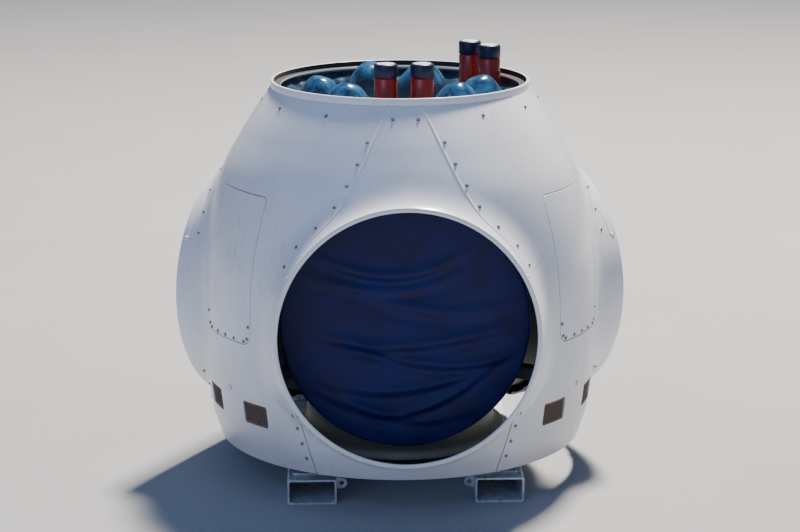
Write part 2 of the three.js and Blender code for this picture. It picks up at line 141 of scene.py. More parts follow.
def two_skins(outer, inner, keep=None):
    """Two grids of points as one closed wall, and its count of outer cells. Each outer edge that only one kept
    cell uses gets a face across to the inner skin."""
    rows, columns = outer.shape[:2]
    count = rows * columns
    cells = grid_quads(rows, columns)
    if keep is not None:
        cells = cells[keep.ravel()]
    start, end = cells.ravel(), np.roll(cells, -1, 1).ravel()
    alone = ~np.isin(start * count + end, end * count + start)
    start, end = start[alone], end[alone]
    walls = np.stack([end, start, start + count, end + count], -1)
    points = np.concatenate([outer.reshape(-1, 3), inner.reshape(-1, 3)])
    used, numbers = np.unique(np.concatenate([cells, cells[:, ::-1] + count, walls]), return_inverse=True)
    return outward(points[used], [numbers.reshape(-1, 4)]), len(cells)


# %% [markdown]
# ## From skins to pieces
# A piece is a mesh object that rides on a body of the frame. Its edges are rounded by a Bevel modifier, which
# stays live so that its width can still be changed.

# %% Pieces
# Edges that turn by more than this count as sharp.
SHARP = np.radians(35)


def in_scene(name, data):
    """A new object, linked to the scene."""
    made = bpy.data.objects.new(name, data)
    bpy.context.scene.collection.objects.link(made)
    return made


def dressed(name, mesh, materials, replaces=(), body="hub"):
    """A mesh as a piece: its materials, the body that it rides on, and the nodes that it stands for."""
    for material in materials:
        mesh.materials.append(material)
    made = in_scene(name, mesh)
    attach(made, body)
    if replaces:
        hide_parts(*replaces)
    return made


def piece(name, skin, materials, replaces=(), body="hub", second=None):
    """A piece of smooth faces from a skin. The faces from second[0] up to second[1] take the second material."""
    points, faces = skin
    corners = np.concatenate([f.ravel() for f in faces])
    sizes = np.concatenate([np.full(len(f), f.shape[1]) for f in faces])
    mesh = bpy.data.meshes.new(name)
    mesh.vertices.add(len(points))
    mesh.vertices.foreach_set("co", np.ascontiguousarray(points, np.float32).ravel())
    mesh.loops.add(len(corners))
    mesh.loops.foreach_set("vertex_index", corners.astype(np.int32))
    mesh.polygons.add(len(sizes))
    mesh.polygons.foreach_set("loop_start", (np.cumsum(sizes) - sizes).astype(np.int32))
    mesh.update(calc_edges=True)
    mesh.polygons.foreach_set("use_smooth", np.ones(len(sizes), bool))
    made = dressed(name, mesh, materials, replaces, body)
    if second:
        index = np.zeros(len(sizes), np.int32)
        index[slice(*second)] = 1
        mesh.polygons.foreach_set("material_index", index)
    return made


def bevelled(made, width, segments=2):
    """Rounds the sharp edges of a piece and keeps its flat faces flat."""
    bevel = made.modifiers.new("rounded edges", "BEVEL")
    bevel.width, bevel.segments = width, segments
    bevel.limit_method, bevel.angle_limit = "ANGLE", SHARP
    bevel.use_clamp_overlap, bevel.harden_normals = False, True


# %% [markdown]
# ## Places round the rotor axis
# The object repeats three times round its axis, so a place is given beside, out from and above the axis as
# seen along one blade, and then turned by a third of a circle for the next.

# %% Places


def stand(u, w, z, turn):
    """Lateral distance u, outward distance w and height z, turned by turn degrees, as points in the frame:
    x is u cos + w sin and y is u sin - w cos, from the rotor axis."""
    c, s = np.cos(np.radians(turn)), np.sin(np.radians(turn))
    return np.stack([AXIS[0] + u * c + w * s, AXIS[1] + u * s - w * c, z + 0 * u], -1)


def facing(u, w, z, turn):
    """A direction in lateral, outward and height, turned by turn degrees."""
    return stand(u, w, z, turn) - AXIS


def unit(vectors):
    """Rows of vectors brought to length 1."""
    return vectors / np.linalg.norm(vectors, axis=1)[:, None]


def blade_axis(k):
    """Centre and direction of a blade's axis."""
    return AXIS + (0, 0, BLADE_HEIGHT), facing(0, 1, 0, THIRD * k)


print("blade axes point along", [blade_axis(k)[1].round(3).tolist() for k in range(3)])

# %% [markdown]
# ## Helpers for materials
# A material is a small network of nodes. One function adds a node with its settings and links, so that
# each finish below reads as a short list. Colours are written as the sRGB hex values that a paint card or
# a photograph gives, and turned to the linear values that the shader works in. Most finishes here wander
# between two close colours, as dust, oil and cast surfaces do, and share one function for that.

# %% Material helpers


def linear(code):
    """An sRGB hex colour as linear red, green, blue and alpha."""
    value = np.array([int(code[i:i + 2], 16) for i in (1, 3, 5)]) / 255
    value = np.where(value <= 0.04045, value / 12.92, ((value + 0.055) / 1.055) ** 2.4)
    return (*value.tolist(), 1.0)


def feed(node, inputs):
    """Gives the first sockets of a node from a list, or those that a dict names or numbers. Each gets a value,
    a hex colour, an output, or the first output in use of another node."""
    for socket, value in enumerate(inputs) if isinstance(inputs, list) else inputs.items():
        if isinstance(value, bpy.types.Node):
            value = next(output for output in value.outputs if output.enabled)
        if isinstance(value, bpy.types.NodeSocket):
            node.id_data.links.new(value, node.inputs[socket])
        else:
            node.inputs[socket].default_value = linear(value) if isinstance(value, str) else value


def add(tree, kind, inputs, **settings):
    """Adds a node with its settings and feeds its sockets."""
    made = tree.nodes.new("ShaderNode" + kind)
    for name, value in settings.items():
        setattr(made, name, value)
    feed(made, inputs)
    return made


def finish(name, **constants):
    """A new material with its Principled shader, and the tree, the shader and Object coordinates in metres."""
    material = bpy.data.materials.new(name)
    material.use_nodes = True
    tree = material.node_tree
    shader = tree.nodes["Principled BSDF"]
    feed(shader, {socket.replace("_", " "): value for socket, value in constants.items()})
    return material, tree, shader, add(tree, "TexCoord", []).outputs["Object"]


def mottled(name, size, colours, detail=2.0, grain=0.5, share=(0, 1), rough=None, **constants):
    """A finish that wanders between two colours by noise with lumps of size metres, share giving the noise values
    of the two colours, and between the roughnesses rough at noise 0.3 and 0.7."""
    material, tree, shader, place = finish(name, **constants)
    patch = add(tree, "TexNoise", {0: place, "Scale": 1 / size, "Detail": detail, "Roughness": grain})
    mix = add(tree, "MapRange", [patch, *share, 0, 1])
    feed(shader, {"Base Color": add(tree, "Mix", {0: mix, 6: colours[0], 7: colours[1]}, data_type="RGBA")})
    if rough:
        feed(shader, {"Roughness": add(tree, "MapRange", [patch, 0.3, 0.7, *rough])})
    return material, tree, shader, place, patch


# %% [markdown]
# ## Gelcoat
# The shell's outside is white gelcoat, a pigmented resin that takes the mould's gloss. Outdoors it is
# dulled by dust: a faint cloudiness, thin runs down the wall, and a duller band near the ground. The mould
# leaves slow waves about a millimetre high, which make the reflections swim a little.

# %% Gelcoat
gelcoat_material, tree, shader, place = finish("white_gelcoat", IOR=1.5, Coat_Weight=0.35, Coat_Roughness=0.12)
cloud = add(tree, "TexNoise", {0: place, "Scale": 1 / 0.9, "Detail": 5})
cloudy = add(tree, "MapRange", [cloud, 0.45, 0.75, 0, 0.35])
height = add(tree, "SeparateXYZ", [place]).outputs["Z"]
near_ground = add(tree, "MapRange", [height, 1.05, 0.32, 0, 0.7])
dusty = add(tree, "Math", [cloudy, near_ground], operation="ADD")
drawn_down = add(tree, "Mapping", {0: place, "Scale": (1, 1, 0.06)})
runs = add(tree, "TexNoise", {0: drawn_down, "Scale": 1 / 0.05, "Detail": 3})
clear_runs = add(tree, "MapRange", [runs, 0.55, 0.8, 0, 0.6])
where_cloudy = add(tree, "MapRange", [cloud, 0.4, 0.65, 0, 1])
streak = add(tree, "Math", [clear_runs, where_cloudy], operation="MULTIPLY")
clean = add(tree, "Mix", {0: dusty, 6: "#e3e9f2", 7: "#bfc1c4"}, data_type="RGBA")
mould_wave = add(tree, "TexNoise", {0: place, "Scale": 1 / 0.35, "Detail": 1})
feed(shader, {"Base Color": add(tree, "Mix", {0: streak, 6: clean, 7: "#bfbfbd"}, data_type="RGBA"),
              "Roughness": add(tree, "MapRange", [cloud, 0.3, 0.8, 0.24, 0.46]),
              "Normal": add(tree, "Bump", {"Height": mould_wave, "Distance": 0.0035, "Strength": 0.6})})
print("gelcoat of", len(tree.nodes), "nodes")

# %% [markdown]
# ## Behind and between the mouldings
# The inside of the shell is the bare back of the laminate. The nose ring's inner corner is painted near black as shade,
# and the seams are closed with sealant that was smoothed by hand.

# %% Laminate, painted shade, sealant and painted highlight
# Glass laminate is matt and greyer than gelcoat, with the weave of the roving printed through it.
laminate_material, tree, shader, place, _ = mottled(
    "bare_glass_laminate", 0.5, ("#9aa5a5", "#7f8a89"), detail=4, share=(0.35, 0.7), IOR=1.5, Roughness=0.72)
weave = add(tree, "TexWave", {0: place, "Scale": 18, "Distortion": 2, "Detail": 2}, bands_direction="Z")
feed(shader, {"Normal": add(tree, "Bump", {"Height": weave.outputs["Fac"], "Distance": 0.0015, "Strength": 0.5})})
# Near black and dull: painted shade for the nose ring's inner corner.
painted_shade_black = mottled("black_painted_shade", 0.02, ("#1d1f22", "#2c2d2f"), Roughness=0.8)[0]
# A sealant bead is brighter than the dusty shell beside it, and satin. The rolled rims take the same white as a painted
# highlight.
sealant_and_highlight_material, tree, shader, place, _ = mottled(
    "white_sealant_and_painted_highlight", 0.15, ("#ebeef2", "#e2e4e4"), detail=3, IOR=1.46, Roughness=0.42)
smoothed = add(tree, "TexNoise", {0: place, "Scale": 1 / 0.03})
feed(shader, {"Normal": add(tree, "Bump", {"Height": smoothed, "Distance": 0.001, "Strength": 0.5})})
print("made", laminate_material.name, painted_shade_black.name, sealant_and_highlight_material.name)

# %% [markdown]
# ## Metals
# Hot-dip galvanised beams have a spangle of zinc crystals, each a slightly different grey. Cast iron is
# primed grey over a sandy skin. Bearing rings are machined and oiled, and bolts and wires have weathered.

# %% Metals
# Zinc crystals of a centimetre or two are drawn 35 mm across, so that they show, with duller clouds over them.
zinc_material, tree, shader, place = finish("hot_dip_galvanised_steel", Metallic=0.45)
crystal = add(tree, "TexVoronoi", {0: place, "Scale": 1 / 0.035}).outputs["Color"]
dull = add(tree, "TexNoise", {0: place, "Scale": 1 / 0.25, "Detail": 5})
duller = add(tree, "MapRange", [dull, 0.5, 0.75, 0, 0.6])
zinc = add(tree, "Mix", {0: add(tree, "SeparateColor", [crystal]), 6: "#b3bac0", 7: "#dbe0e4"}, data_type="RGBA")
ripple = add(tree, "TexNoise", {0: place, "Scale": 1 / 0.01})
feed(shader, {"Base Color": add(tree, "Mix", {0: duller, 6: zinc, 7: "#9ea4a9"}, data_type="RGBA"),
              "Roughness": add(tree, "MapRange", [dull, 0.3, 0.7, 0.38, 0.6]),
              "Normal": add(tree, "Bump", {"Height": ripple, "Distance": 0.0004, "Strength": 0.4})})
# Primer over the print of the sand mould, whose grains of under a millimetre are drawn 12 mm coarse to show.
casting_material, tree, shader, place, _ = mottled(
    "grey_primed_cast_iron", 0.4, ("#7c8179", "#676c63"), detail=4, IOR=1.5)
sand = add(tree, "TexNoise", {0: place, "Scale": 1 / 0.012, "Detail": 4})
feed(shader, {"Roughness": add(tree, "MapRange", [sand, 0.3, 0.7, 0.5, 0.7]),
              "Normal": add(tree, "Bump", {"Height": sand, "Distance": 0.0015, "Strength": 0.6})})
# Machined steel under a film of oil: shiny, with duller clouds.
bearing_material = mottled("machined_bearing_steel", 0.2, ("#a7a8a6", "#7c7d7a"), detail=3, rough=(0.28, 0.5),
                           Metallic=1.0)[0]
# Zinc-coated bolts go grey and patchy outdoors.
bolt_material, tree, shader, place, _ = mottled("weathered_steel_bolt", 0.03, ("#79818c", "#9aa1ab"), Metallic=0.85)
worn = add(tree, "TexNoise", {0: place, "Scale": 1 / 0.02})
feed(shader, {"Roughness": add(tree, "MapRange", [worn, 0.3, 0.7, 0.4, 0.6])})
# Thin wires rust first, to a dull brown grey.
wire_material = mottled("rusted_wire_mesh", 0.04, ("#8d7c71", "#65574f"), Metallic=0.5, Roughness=0.6)[0]
print("made", zinc_material.name, casting_material.name, bearing_material.name, bolt_material.name, wire_material.name)

# %% [markdown]
# ## Filter mat, enamel and plastics
# Behind the wires lies a mat of coarse fibres. The pressure bottles are enamelled, and their caps are moulded.

# %% Filter mat, enamel and plastics
# The mat is brown with dust. Its thin fibres are drawn as clumps of 8 mm, so that they show.
filter_material, tree, shader, place, fibre = mottled(
    "dusty_filter_mat", 0.008, ("#75665d", "#96867c"), detail=3, grain=0.7, Roughness=0.95)
feed(shader, {"Normal": add(tree, "Bump", {"Height": fibre, "Distance": 0.004, "Strength": 0.8})})
# Enamel is glossy, and darker and duller where it is scuffed.
red_material, tree, shader, place, scuff = mottled("red_enamel", 0.06, ("#98170f", "#701009"), detail=5, grain=0.7,
                                                   share=(0.6, 0.75), IOR=1.5, Coat_Weight=0.5, Coat_Roughness=0.1)
feed(shader, {"Roughness": add(tree, "MapRange", [scuff, 0.3, 0.8, 0.28, 0.5])})
# Moulded plastic is satin and evenly coloured, but for a faint bloom.
cap_material = mottled("navy_plastic_cap", 0.05, ("#0d1436", "#141d45"), detail=4, IOR=1.46, Roughness=0.38)[0]
# The caps' tops and the covers' hem cords take this pale colour as a painted highlight.
pale_highlight_material = mottled("pale_painted_highlight", 0.06, ("#d5d8e6", "#b4b8cc"), detail=4, IOR=1.46, Roughness=0.5)[0]
print("made", filter_material.name, red_material.name, cap_material.name, pale_highlight_material.name)

# %% [markdown]
# ## Cloth and film
# The blade bearings are covered with coated polyester, a navy tarpaulin: a fine weave under a dull plastic
# skin. Real threads are about half a millimetre apart, too fine to show, so they are drawn 12 mm apart: a
# wave texture of scale 1 repeats every 2 pi / 20 metres. The film over the nose is shiny blue stretch wrap,
# full of small creases.

# %% Cloth and film
cloth_material, tree, shader, place, _ = mottled(
    "navy_coated_polyester", 0.3, ("#040e46", "#07185f"), detail=4, share=(0.35, 0.7), rough=(0.46, 0.52), IOR=1.38)
uv = add(tree, "UVMap", [], uv_map="cut")
warp, weft = (add(tree, "TexWave", {0: uv, "Scale": 26}, bands_direction=way).outputs["Fac"] for way in "XY")
threads = add(tree, "Math", [warp, weft], operation="MULTIPLY")
feed(shader, {"Normal": add(tree, "Bump", {"Height": threads, "Distance": 0.0006, "Strength": 0.35})})

# The film is shiny. It is paler and bluer the higher it lies, a painted highlight on the dome tops, and near black low
# down, painted shade between the domes; both colours wander by noise.
film_material, tree, shader, place = finish("blue_stretch_film", IOR=1.5, Coat_Weight=0.9, Coat_Roughness=0.05)
height = add(tree, "SeparateXYZ", [place]).outputs["Z"]
fine = add(tree, "TexNoise", {0: place, "Scale": 1 / 0.12, "Detail": 5, "Roughness": 0.6})
patch = add(tree, "TexNoise", {0: place, "Scale": 1 / 0.5})
# Painted shade for the low film, wandering between near black and dark teal.
free = add(tree, "Mix", {0: add(tree, "MapRange", [patch, 0.42, 0.58, 0, 1]), 6: "#08111f", 7: "#22383f"},
           data_type="RGBA")
# Painted highlight for the high film.
highlit_film = add(tree, "Mix", {0: add(tree, "MapRange", [fine, 0.35, 0.68, 0, 1]), 6: "#0d2748", 7: "#336f9f"},
            data_type="RGBA")
uneven = add(tree, "MapRange", [fine, 0.3, 0.7, -0.04, 0.04])
# Height from 3.44 to 3.60 m picks the painted shade below and the painted highlight above.
raised = add(tree, "MapRange", [add(tree, "Math", [height, uneven], operation="ADD"), 3.44, 3.60, 0, 1])
flattened = add(tree, "Mapping", {0: place, "Scale": (1, 1, 0.4)})
crease = add(tree, "TexNoise", {0: flattened, "Scale": 1 / 0.07, "Detail": 3})
feed(shader, {"Base Color": add(tree, "Mix", {0: raised, 6: free, 7: highlit_film}, data_type="RGBA"),
              "Roughness": add(tree, "MapRange", [fine, 0.3, 0.7, 0.10, 0.26]),
              "Normal": add(tree, "Bump", {"Height": crease, "Distance": 0.010, "Strength": 0.5})})
print("made", cloth_material.name, film_material.name)

# %% [markdown]
# ## The shell's surface
# The shell is one surface: for each lateral distance and height seen along a blade axis there is one
# distance out. On the body that is a circle's. On a flare it is a cubic from the rim to the body, which is
# searched for the share that lies at the wanted distance from the blade axis, halving the bracket each time.

# %% The body and its flares


def through(knots, values, at):
    """Cubic pieces through the values, each with the slope between its point's two neighbours, one-sided at the
    ends."""
    slopes = np.empty(len(knots))
    slopes[1:-1] = (values[2:] - values[:-2]) / (knots[2:] - knots[:-2])
    slopes[0] = (values[1] - values[0]) / (knots[1] - knots[0])
    slopes[-1] = (values[-1] - values[-2]) / (knots[-1] - knots[-2])
    i = np.clip(np.searchsorted(knots, at, side="right") - 1, 0, len(knots) - 2)
    step = knots[i + 1] - knots[i]
    t = (at - knots[i]) / step
    s = t * t * (3 - 2 * t)
    return ((1 - s) * values[i] + s * values[i + 1]
            + t * (1 - t) ** 2 * step * slopes[i] - t * t * (1 - t) * step * slopes[i + 1])


def body_radius(z):
    """Radius of the body at a height."""
    return through(BODY_HEIGHTS, BODY_RADII, z)


def fold_share(psi):
    """1 where the flare meets the skirt in a fold, low on both sides, and 0 elsewhere."""
    return np.exp(-((np.sin(psi) + FOLD_LOW) / FOLD_SPREAD) ** 2)


def flare_edge(psi):
    """Distance from the blade axis at which the flare ends, at an angle round it."""
    return RIM_OUTER + FLARE_WIDTH + FLARE_SWING * np.sin(psi) + FOLD_WIDTH * fold_share(psi)


def body_out(q, psi, inset):
    """Distance out of the body at q from the blade axis: a circle's, less inset."""
    return np.sqrt((body_radius(BLADE_HEIGHT + q * np.sin(psi)) - inset) ** 2 - (q * np.cos(psi)) ** 2)


def flare(psi, t, inset, rim):
    """Distance from the blade axis and distance out on the flare: a cubic that leaves the rim leaning back and
    ends on the body with the body's slope, steeper at the fold."""
    edge = flare_edge(psi)
    w = body_out(edge, psi, inset)
    slope = (body_out(edge + 0.001, psi, inset) - body_out(edge - 0.001, psi, inset)) / 0.002
    slope = slope - FOLD_SLOPE * fold_share(psi)
    chord = np.hypot(edge - rim, RIM_REACH - w)
    lean = np.radians(LEAN + LEAN_UP * np.sin(psi) + LEAN_SIDE * np.abs(np.cos(psi)))
    s = t * t * (3 - 2 * t)
    a = t * (1 - t) ** 2 * chord
    b = t * t * (1 - t) * chord / np.hypot(1, slope)
    q = (1 - s) * rim + s * edge + a * np.cos(lean) - b
    return q, (1 - s) * RIM_REACH + s * w - a * np.sin(lean) - b * slope


def flare_share(psi, q, inset, rim):
    """The share along the flare that lies q from the blade axis, found in 26 halvings."""
    psi, q = np.broadcast_arrays(psi, q)
    low, high = np.zeros(q.shape), np.ones(q.shape)
    for _ in range(26):
        middle = (low + high) / 2
        past = flare(psi, middle, inset, rim)[0] > q
        low, high = np.where(past, low, middle), np.where(past, middle, high)
    return low


print("flares end", flare_edge(np.radians([-90, 0, 90])).round(3), "m below, beside and above the blade axis")

# %% [markdown]
# ## Points, directions and seams on the skin
# Everything that lies on the shell asks the same few questions: how far out the skin is, which way it
# faces, and where the seams run. Its slope is taken over a millimetre either way.

# %% Points on the skin


def skin_out(u, z, inset=0.0, rim=RIM_OUTER):
    """Distance out of the skin at a lateral distance and height, up to 60 degrees either side of the blade axis."""
    q, psi = np.hypot(u, z - BLADE_HEIGHT), np.arctan2(z - BLADE_HEIGHT, u)
    on_flare = flare(psi, flare_share(psi, q, inset, rim), inset, rim)[1]
    return np.where(q < flare_edge(psi), on_flare, np.sqrt((body_radius(z) - inset) ** 2 - u**2))


def skin_frame(u, z, turn, inset=0.0):
    """Points of the skin and its outward directions there."""
    step = 0.001
    slope_u = (skin_out(u + step, z) - skin_out(u - step, z)) / (2 * step)
    slope_z = (skin_out(u, z + step) - skin_out(u, z - step)) / (2 * step)
    out = unit(facing(-slope_u, np.ones_like(u), -slope_z, turn))
    return stand(u, skin_out(u, z), z, turn) - inset * out, out


def pulled(q):
    """On the inner skin the rim is nearer the blade axis: the 30 mm beside it are drawn in to meet it."""
    return q - (RIM_OUTER - RIM_INNER) * np.clip(1 - (q - RIM_OUTER) / 0.03, 0, 1)


def seam_line(seam, shift, count=400):
    """Lateral distance, height, angle round the blade axis and distance from it along a seam, moved sideways."""
    z = np.linspace(max(seam[0, 1], SHELL_BASE), min(seam[-1, 1], SHELL_TOP), count)
    u = through(seam[:, 1], seam[:, 0], z) + shift
    return u, z, np.arctan2(z - BLADE_HEIGHT, u), np.hypot(u, z - BLADE_HEIGHT)


def shell_piece(name, skins, keep, node):
    """A wall of two skins as a piece: gelcoat outside, bare laminate inside, edges rounded by 3 mm."""
    wall, cells = two_skins(*skins, keep)
    bevelled(piece(name, wall, [gelcoat_material, laminate_material], [node],
                   second=(cells, 2 * cells)), 0.003)


SKINS = ((0.0, RIM_OUTER), (SHELL_THICK, RIM_INNER))
print("the upper seam starts", seam_line(UPPER_SEAM, 0)[3][0].round(3), "m from the blade axis")

# %% [markdown]
# ## Arches
# Over and under each opening the shell is a separate moulding, so that a blade can be reached. An arch is a
# grid: its rows run from seam to seam, the first along the rim and the last along the shell's edge, and
# the row that starts at a point of the seam is found from how far that point is between the two.

# %% Arches over and under the openings


def arch(seam, edge_height, inset, rim):
    """Lateral distance, distance out and height of an arch's skin. Its first two rows close the end by the rim."""
    u, z, psi, q = seam_line(seam, -SEAM_GAP / 2)
    reach = edge_height - BLADE_HEIGHT
    share = (q - RIM_OUTER) / (reach / np.sin(psi) - RIM_OUTER)
    order = np.argsort(share)
    share, psi, u, z = share[order], psi[order], u[order], z[order]
    length = np.concatenate([[0], np.cumsum(np.hypot(np.diff(u), np.diff(z)))])
    at = np.linspace(0, length[-1], int(length[-1] / CELL))
    share = np.concatenate([[0, share[0] / 2], np.interp(at, length, share)])
    share[-1] = 1
    start = np.concatenate([psi[:1], psi[:1], np.interp(at, length, psi)])[:, None]
    start = start + np.sign(reach) * SEAM_END * np.exp(-np.arange(len(start)) / 2)[:, None]
    middle = np.sign(reach) * np.pi / 2
    columns = int(2 * RIM_OUTER * abs(middle - start[0, 0]) / (1.2 * CELL))
    across = start + (2 * middle - 2 * start) * np.linspace(0, 1, columns)[None]
    q = RIM_OUTER + share[:, None] * (reach / np.sin(across) - RIM_OUTER)
    if inset:
        q = pulled(q)
    u, z = q * np.cos(across), BLADE_HEIGHT + q * np.sin(across)
    return u, skin_out(u, z, inset, rim), z


for k in range(3):
    for kind, seam, edge in (("upper", UPPER_SEAM, SHELL_TOP), ("lower", LOWER_SEAM, SHELL_BASE)):
        skins = [stand(*arch(seam, edge, *skin), THIRD * k) for skin in SKINS]
        shell_piece(f"{kind}_arch_shell_{k + 1}", skins, None, f"{kind}_arch_{k + 1}")
        print(kind, "arch", k + 1, "is a grid of", skins[0].shape[:2])

# %% [markdown]
# ## Side panels
# A side panel reaches from one opening to the next. Half of it is a grid whose rows leave the opening's
# border, cross the flare straight away from the blade axis and then run level round the body; the other
# half is its mirror image. The fold between flare and body crosses the grid, so two rounds of averaging
# along the rows keep it smooth.

# %% Side panel grid


def even(psi, q):
    """A line given by angle and distance round the blade axis, as points a cell apart that keep both its ends."""
    length = np.concatenate([[0], np.cumsum(np.hypot(np.diff(q * np.cos(psi)), np.diff(q * np.sin(psi))))])
    at = np.linspace(0, length[-1], int(length[-1] / CELL))
    return np.interp(at, length, psi), np.interp(at, length, q)


def panel_border():
    """Angle round the blade axis and distance from it along the panel's border: lower seam, rim, upper seam."""
    low, high = (seam_line(seam, SEAM_GAP / 2)[2:] for seam in (LOWER_SEAM, UPPER_SEAM))
    rim = np.linspace(low[0][-1] + 2 * SEAM_END, high[0][0] - 2 * SEAM_END, 300)
    parts = [even(*low), even(rim, np.full(len(rim), RIM_OUTER)), even(*high)]
    return [np.concatenate([part[i] for part in parts])[:, None] for i in (0, 1)]


def half_panel(inset, rim, columns=62):
    """Azimuth from the panel's middle, radius and height of half a side panel's skin."""
    psi, q = panel_border()
    edge = flare_edge(psi)
    flared = q < edge
    outer_start = flare_share(psi, q, 0.0, RIM_OUTER)
    start = flare_share(psi, pulled(q) if inset else q, inset, rim)
    near, far = flare(psi, outer_start + (1 - outer_start) * np.linspace(0, 1, 24)[None], 0.0, RIM_OUTER)
    crossing = np.hypot(np.diff(near, axis=1), np.diff(far, axis=1)).sum(1, keepdims=True) * flared
    turn_off = np.where(flared, edge, q)
    height = BLADE_HEIGHT + turn_off * np.sin(psi)
    radius = body_radius(height)
    level = radius * (np.radians(PANEL_TURN) - np.arcsin(turn_off * np.cos(psi) / radius))
    share = crossing / (crossing + level)
    s = np.linspace(0, 1, columns)[None]
    on_flare = s < share
    t = start + (1 - start) * np.clip(s / np.maximum(share, 1e-9), 0, 1)
    near, far = flare(psi, t, inset, rim)
    first = np.arcsin(turn_off * np.cos(psi) / (radius - inset))
    turn = first + (np.radians(PANEL_TURN) - first) * np.clip((s - share) / (1 - share), 0, 1)
    azimuth = np.where(on_flare, np.arctan2(near * np.cos(psi), far), turn)
    size = np.where(on_flare, np.hypot(near * np.cos(psi), far), radius - inset)
    z = np.where(on_flare, BLADE_HEIGHT + near * np.sin(psi), height)
    return azimuth - np.radians(PANEL_TURN), size, z


def whole_panel(inset, rim):
    """Azimuth, radius and height of a panel's skin: half of it and its mirror image, eased along the rows."""
    half = zip(half_panel(inset, rim), (-1, 1, 1))
    parts = [np.concatenate([part, sign * part[:, -2::-1]], 1) for part, sign in half]
    for _ in range(2):
        for part in parts:
            part[:, 1:-1] = part[:, 1:-1] / 2 + (part[:, 2:] + part[:, :-2]) / 4
    return parts


outer_panel, inner_panel = (whole_panel(*skin) for skin in SKINS)
print("side panel grid", outer_panel[0].shape)

# %% [markdown]
# ## Hatch and vents
# Holes are cut in the grid without a boolean: cells whose middle lies in the hole go, and the points round
# it are moved onto its outline. A rounded rectangle's distance is known in closed form, so a point is moved
# by that distance along its slope.

# %% Cutting outlines into the grid
HATCH_HALF = 0.395
HATCH_BOTTOM = 1.425
HATCH_TOP = 2.755
HATCH_ROUND = 0.120
HATCH_ROUND_TOP = 0.050
HATCH_GAP = 0.007
VENT_SIDE = 0.365
VENT_HEIGHT = 0.783
VENT_HALF = 0.320 / 2
VENT_TALL = 0.205 / 2
VENT_ROUND = 0.014
vent_turn = np.arcsin(VENT_SIDE / body_radius(VENT_HEIGHT))


def outline_distance(side, z, outline):
    """Distance outside a rounded rectangle, negative inside: that of a smaller rectangle, less the round."""
    half, low, high, low_round, high_round = outline
    middle, tall = (low + high) / 2, (high - low) / 2
    curve = np.where(z < middle, low_round, high_round)
    a, b = np.abs(side) - half + curve, np.abs(z - middle) - tall + curve
    return np.hypot(np.maximum(a, 0), np.maximum(b, 0)) + np.minimum(np.maximum(a, b), 0) - curve


def cut(panels, turn, outline, inside=False):
    """Cells on the wanted side of an outline set on the panel at an azimuth, and both skins with their points
    drawn onto it."""
    sides = panels[0][1] * np.sin(panels[0][0] - turn)
    near = np.abs(panels[0][0] - turn) < np.pi / 3
    off = np.where(near, outline_distance(sides, panels[0][2], outline), 1.0)
    middle = (off[1:, 1:] + off[1:, :-1] + off[:-1, 1:] + off[:-1, :-1]) / 4
    keep = middle < 0 if inside else middle > 0
    count = sum(np.pad(keep.astype(int), ((a, 1 - a), (b, 1 - b))) for a in (0, 1) for b in (0, 1))
    border = (count > 0) & (count < 4) & (np.abs(off) < 2 * CELL)
    side, z = sides[border], panels[0][2][border]
    for _ in range(4):
        d, step = outline_distance(side, z, outline), 1e-5
        a = (outline_distance(side + step, z, outline) - d) / step
        b = (outline_distance(side, z + step, outline) - d) / step
        side, z = side - d * a, z - d * b
    moved = []
    for panel, (inset, _) in zip(panels, SKINS):
        azimuth, size, height = (part.copy() for part in panel)
        height[border] = z
        size[border] = body_radius(z) - inset
        azimuth[border] = turn + np.arcsin(side / size[border])
        moved.append((azimuth, size, height))
    return keep, moved


def on_panel(skin, k, raised=0.0):
    """Points of a panel's skin in the frame, raised outwards."""
    azimuth, size, z = skin
    return stand((size + raised) * np.sin(azimuth), (size + raised) * np.cos(azimuth), z, PANEL_TURN + THIRD * k)


hatch_hole = (HATCH_HALF, HATCH_BOTTOM, HATCH_TOP, HATCH_ROUND, HATCH_ROUND_TOP)
hatch_plate = (HATCH_HALF - HATCH_GAP, HATCH_BOTTOM + HATCH_GAP, HATCH_TOP - HATCH_GAP,
               HATCH_ROUND - HATCH_GAP, HATCH_ROUND_TOP - HATCH_GAP)
vent_hole = (VENT_HALF, VENT_HEIGHT - VENT_TALL, VENT_HEIGHT + VENT_TALL, VENT_ROUND, VENT_ROUND)
keep, skins = cut([outer_panel, inner_panel], 0.0, hatch_hole)
for side in (-1, 1):
    more, skins = cut(skins, side * vent_turn, vent_hole)
    keep = keep & more
hatch_keep, hatch_skins = cut([outer_panel, inner_panel], 0.0, hatch_plate, inside=True)
for k in range(3):
    shell_piece(f"side_panel_shell_{k + 1}", [on_panel(s, k) for s in skins], keep, f"side_panel_{k + 1}")
    shell_piece(f"hatch_plate_{k + 1}", [on_panel(s, k, 0.001) for s in hatch_skins], hatch_keep,
                f"hatch_cover_{k + 1}")
print("cells kept in a panel", int(keep.sum()), "and in a hatch", int(hatch_keep.sum()))

# %% [markdown]
# ## Outlines
# The rest of the object is made of small flat outlines, such as a bar's or a bead's. Real corners are never
# quite sharp, so an outline's corners are rounded before it is used.

# %% Outlines


def circle(count):
    """Angles of count points round a circle."""
    return np.arange(count) * 2 * np.pi / count


def oval(wide, tall, count):
    """Count points of an ellipse round the origin."""
    return np.stack([wide * np.cos(circle(count)), tall * np.sin(circle(count))], 1)


def rectangle(left, right, low, high):
    """The four corners of an upright rectangle, in order."""
    return np.array([(left, low), (right, low), (right, high), (left, high)])


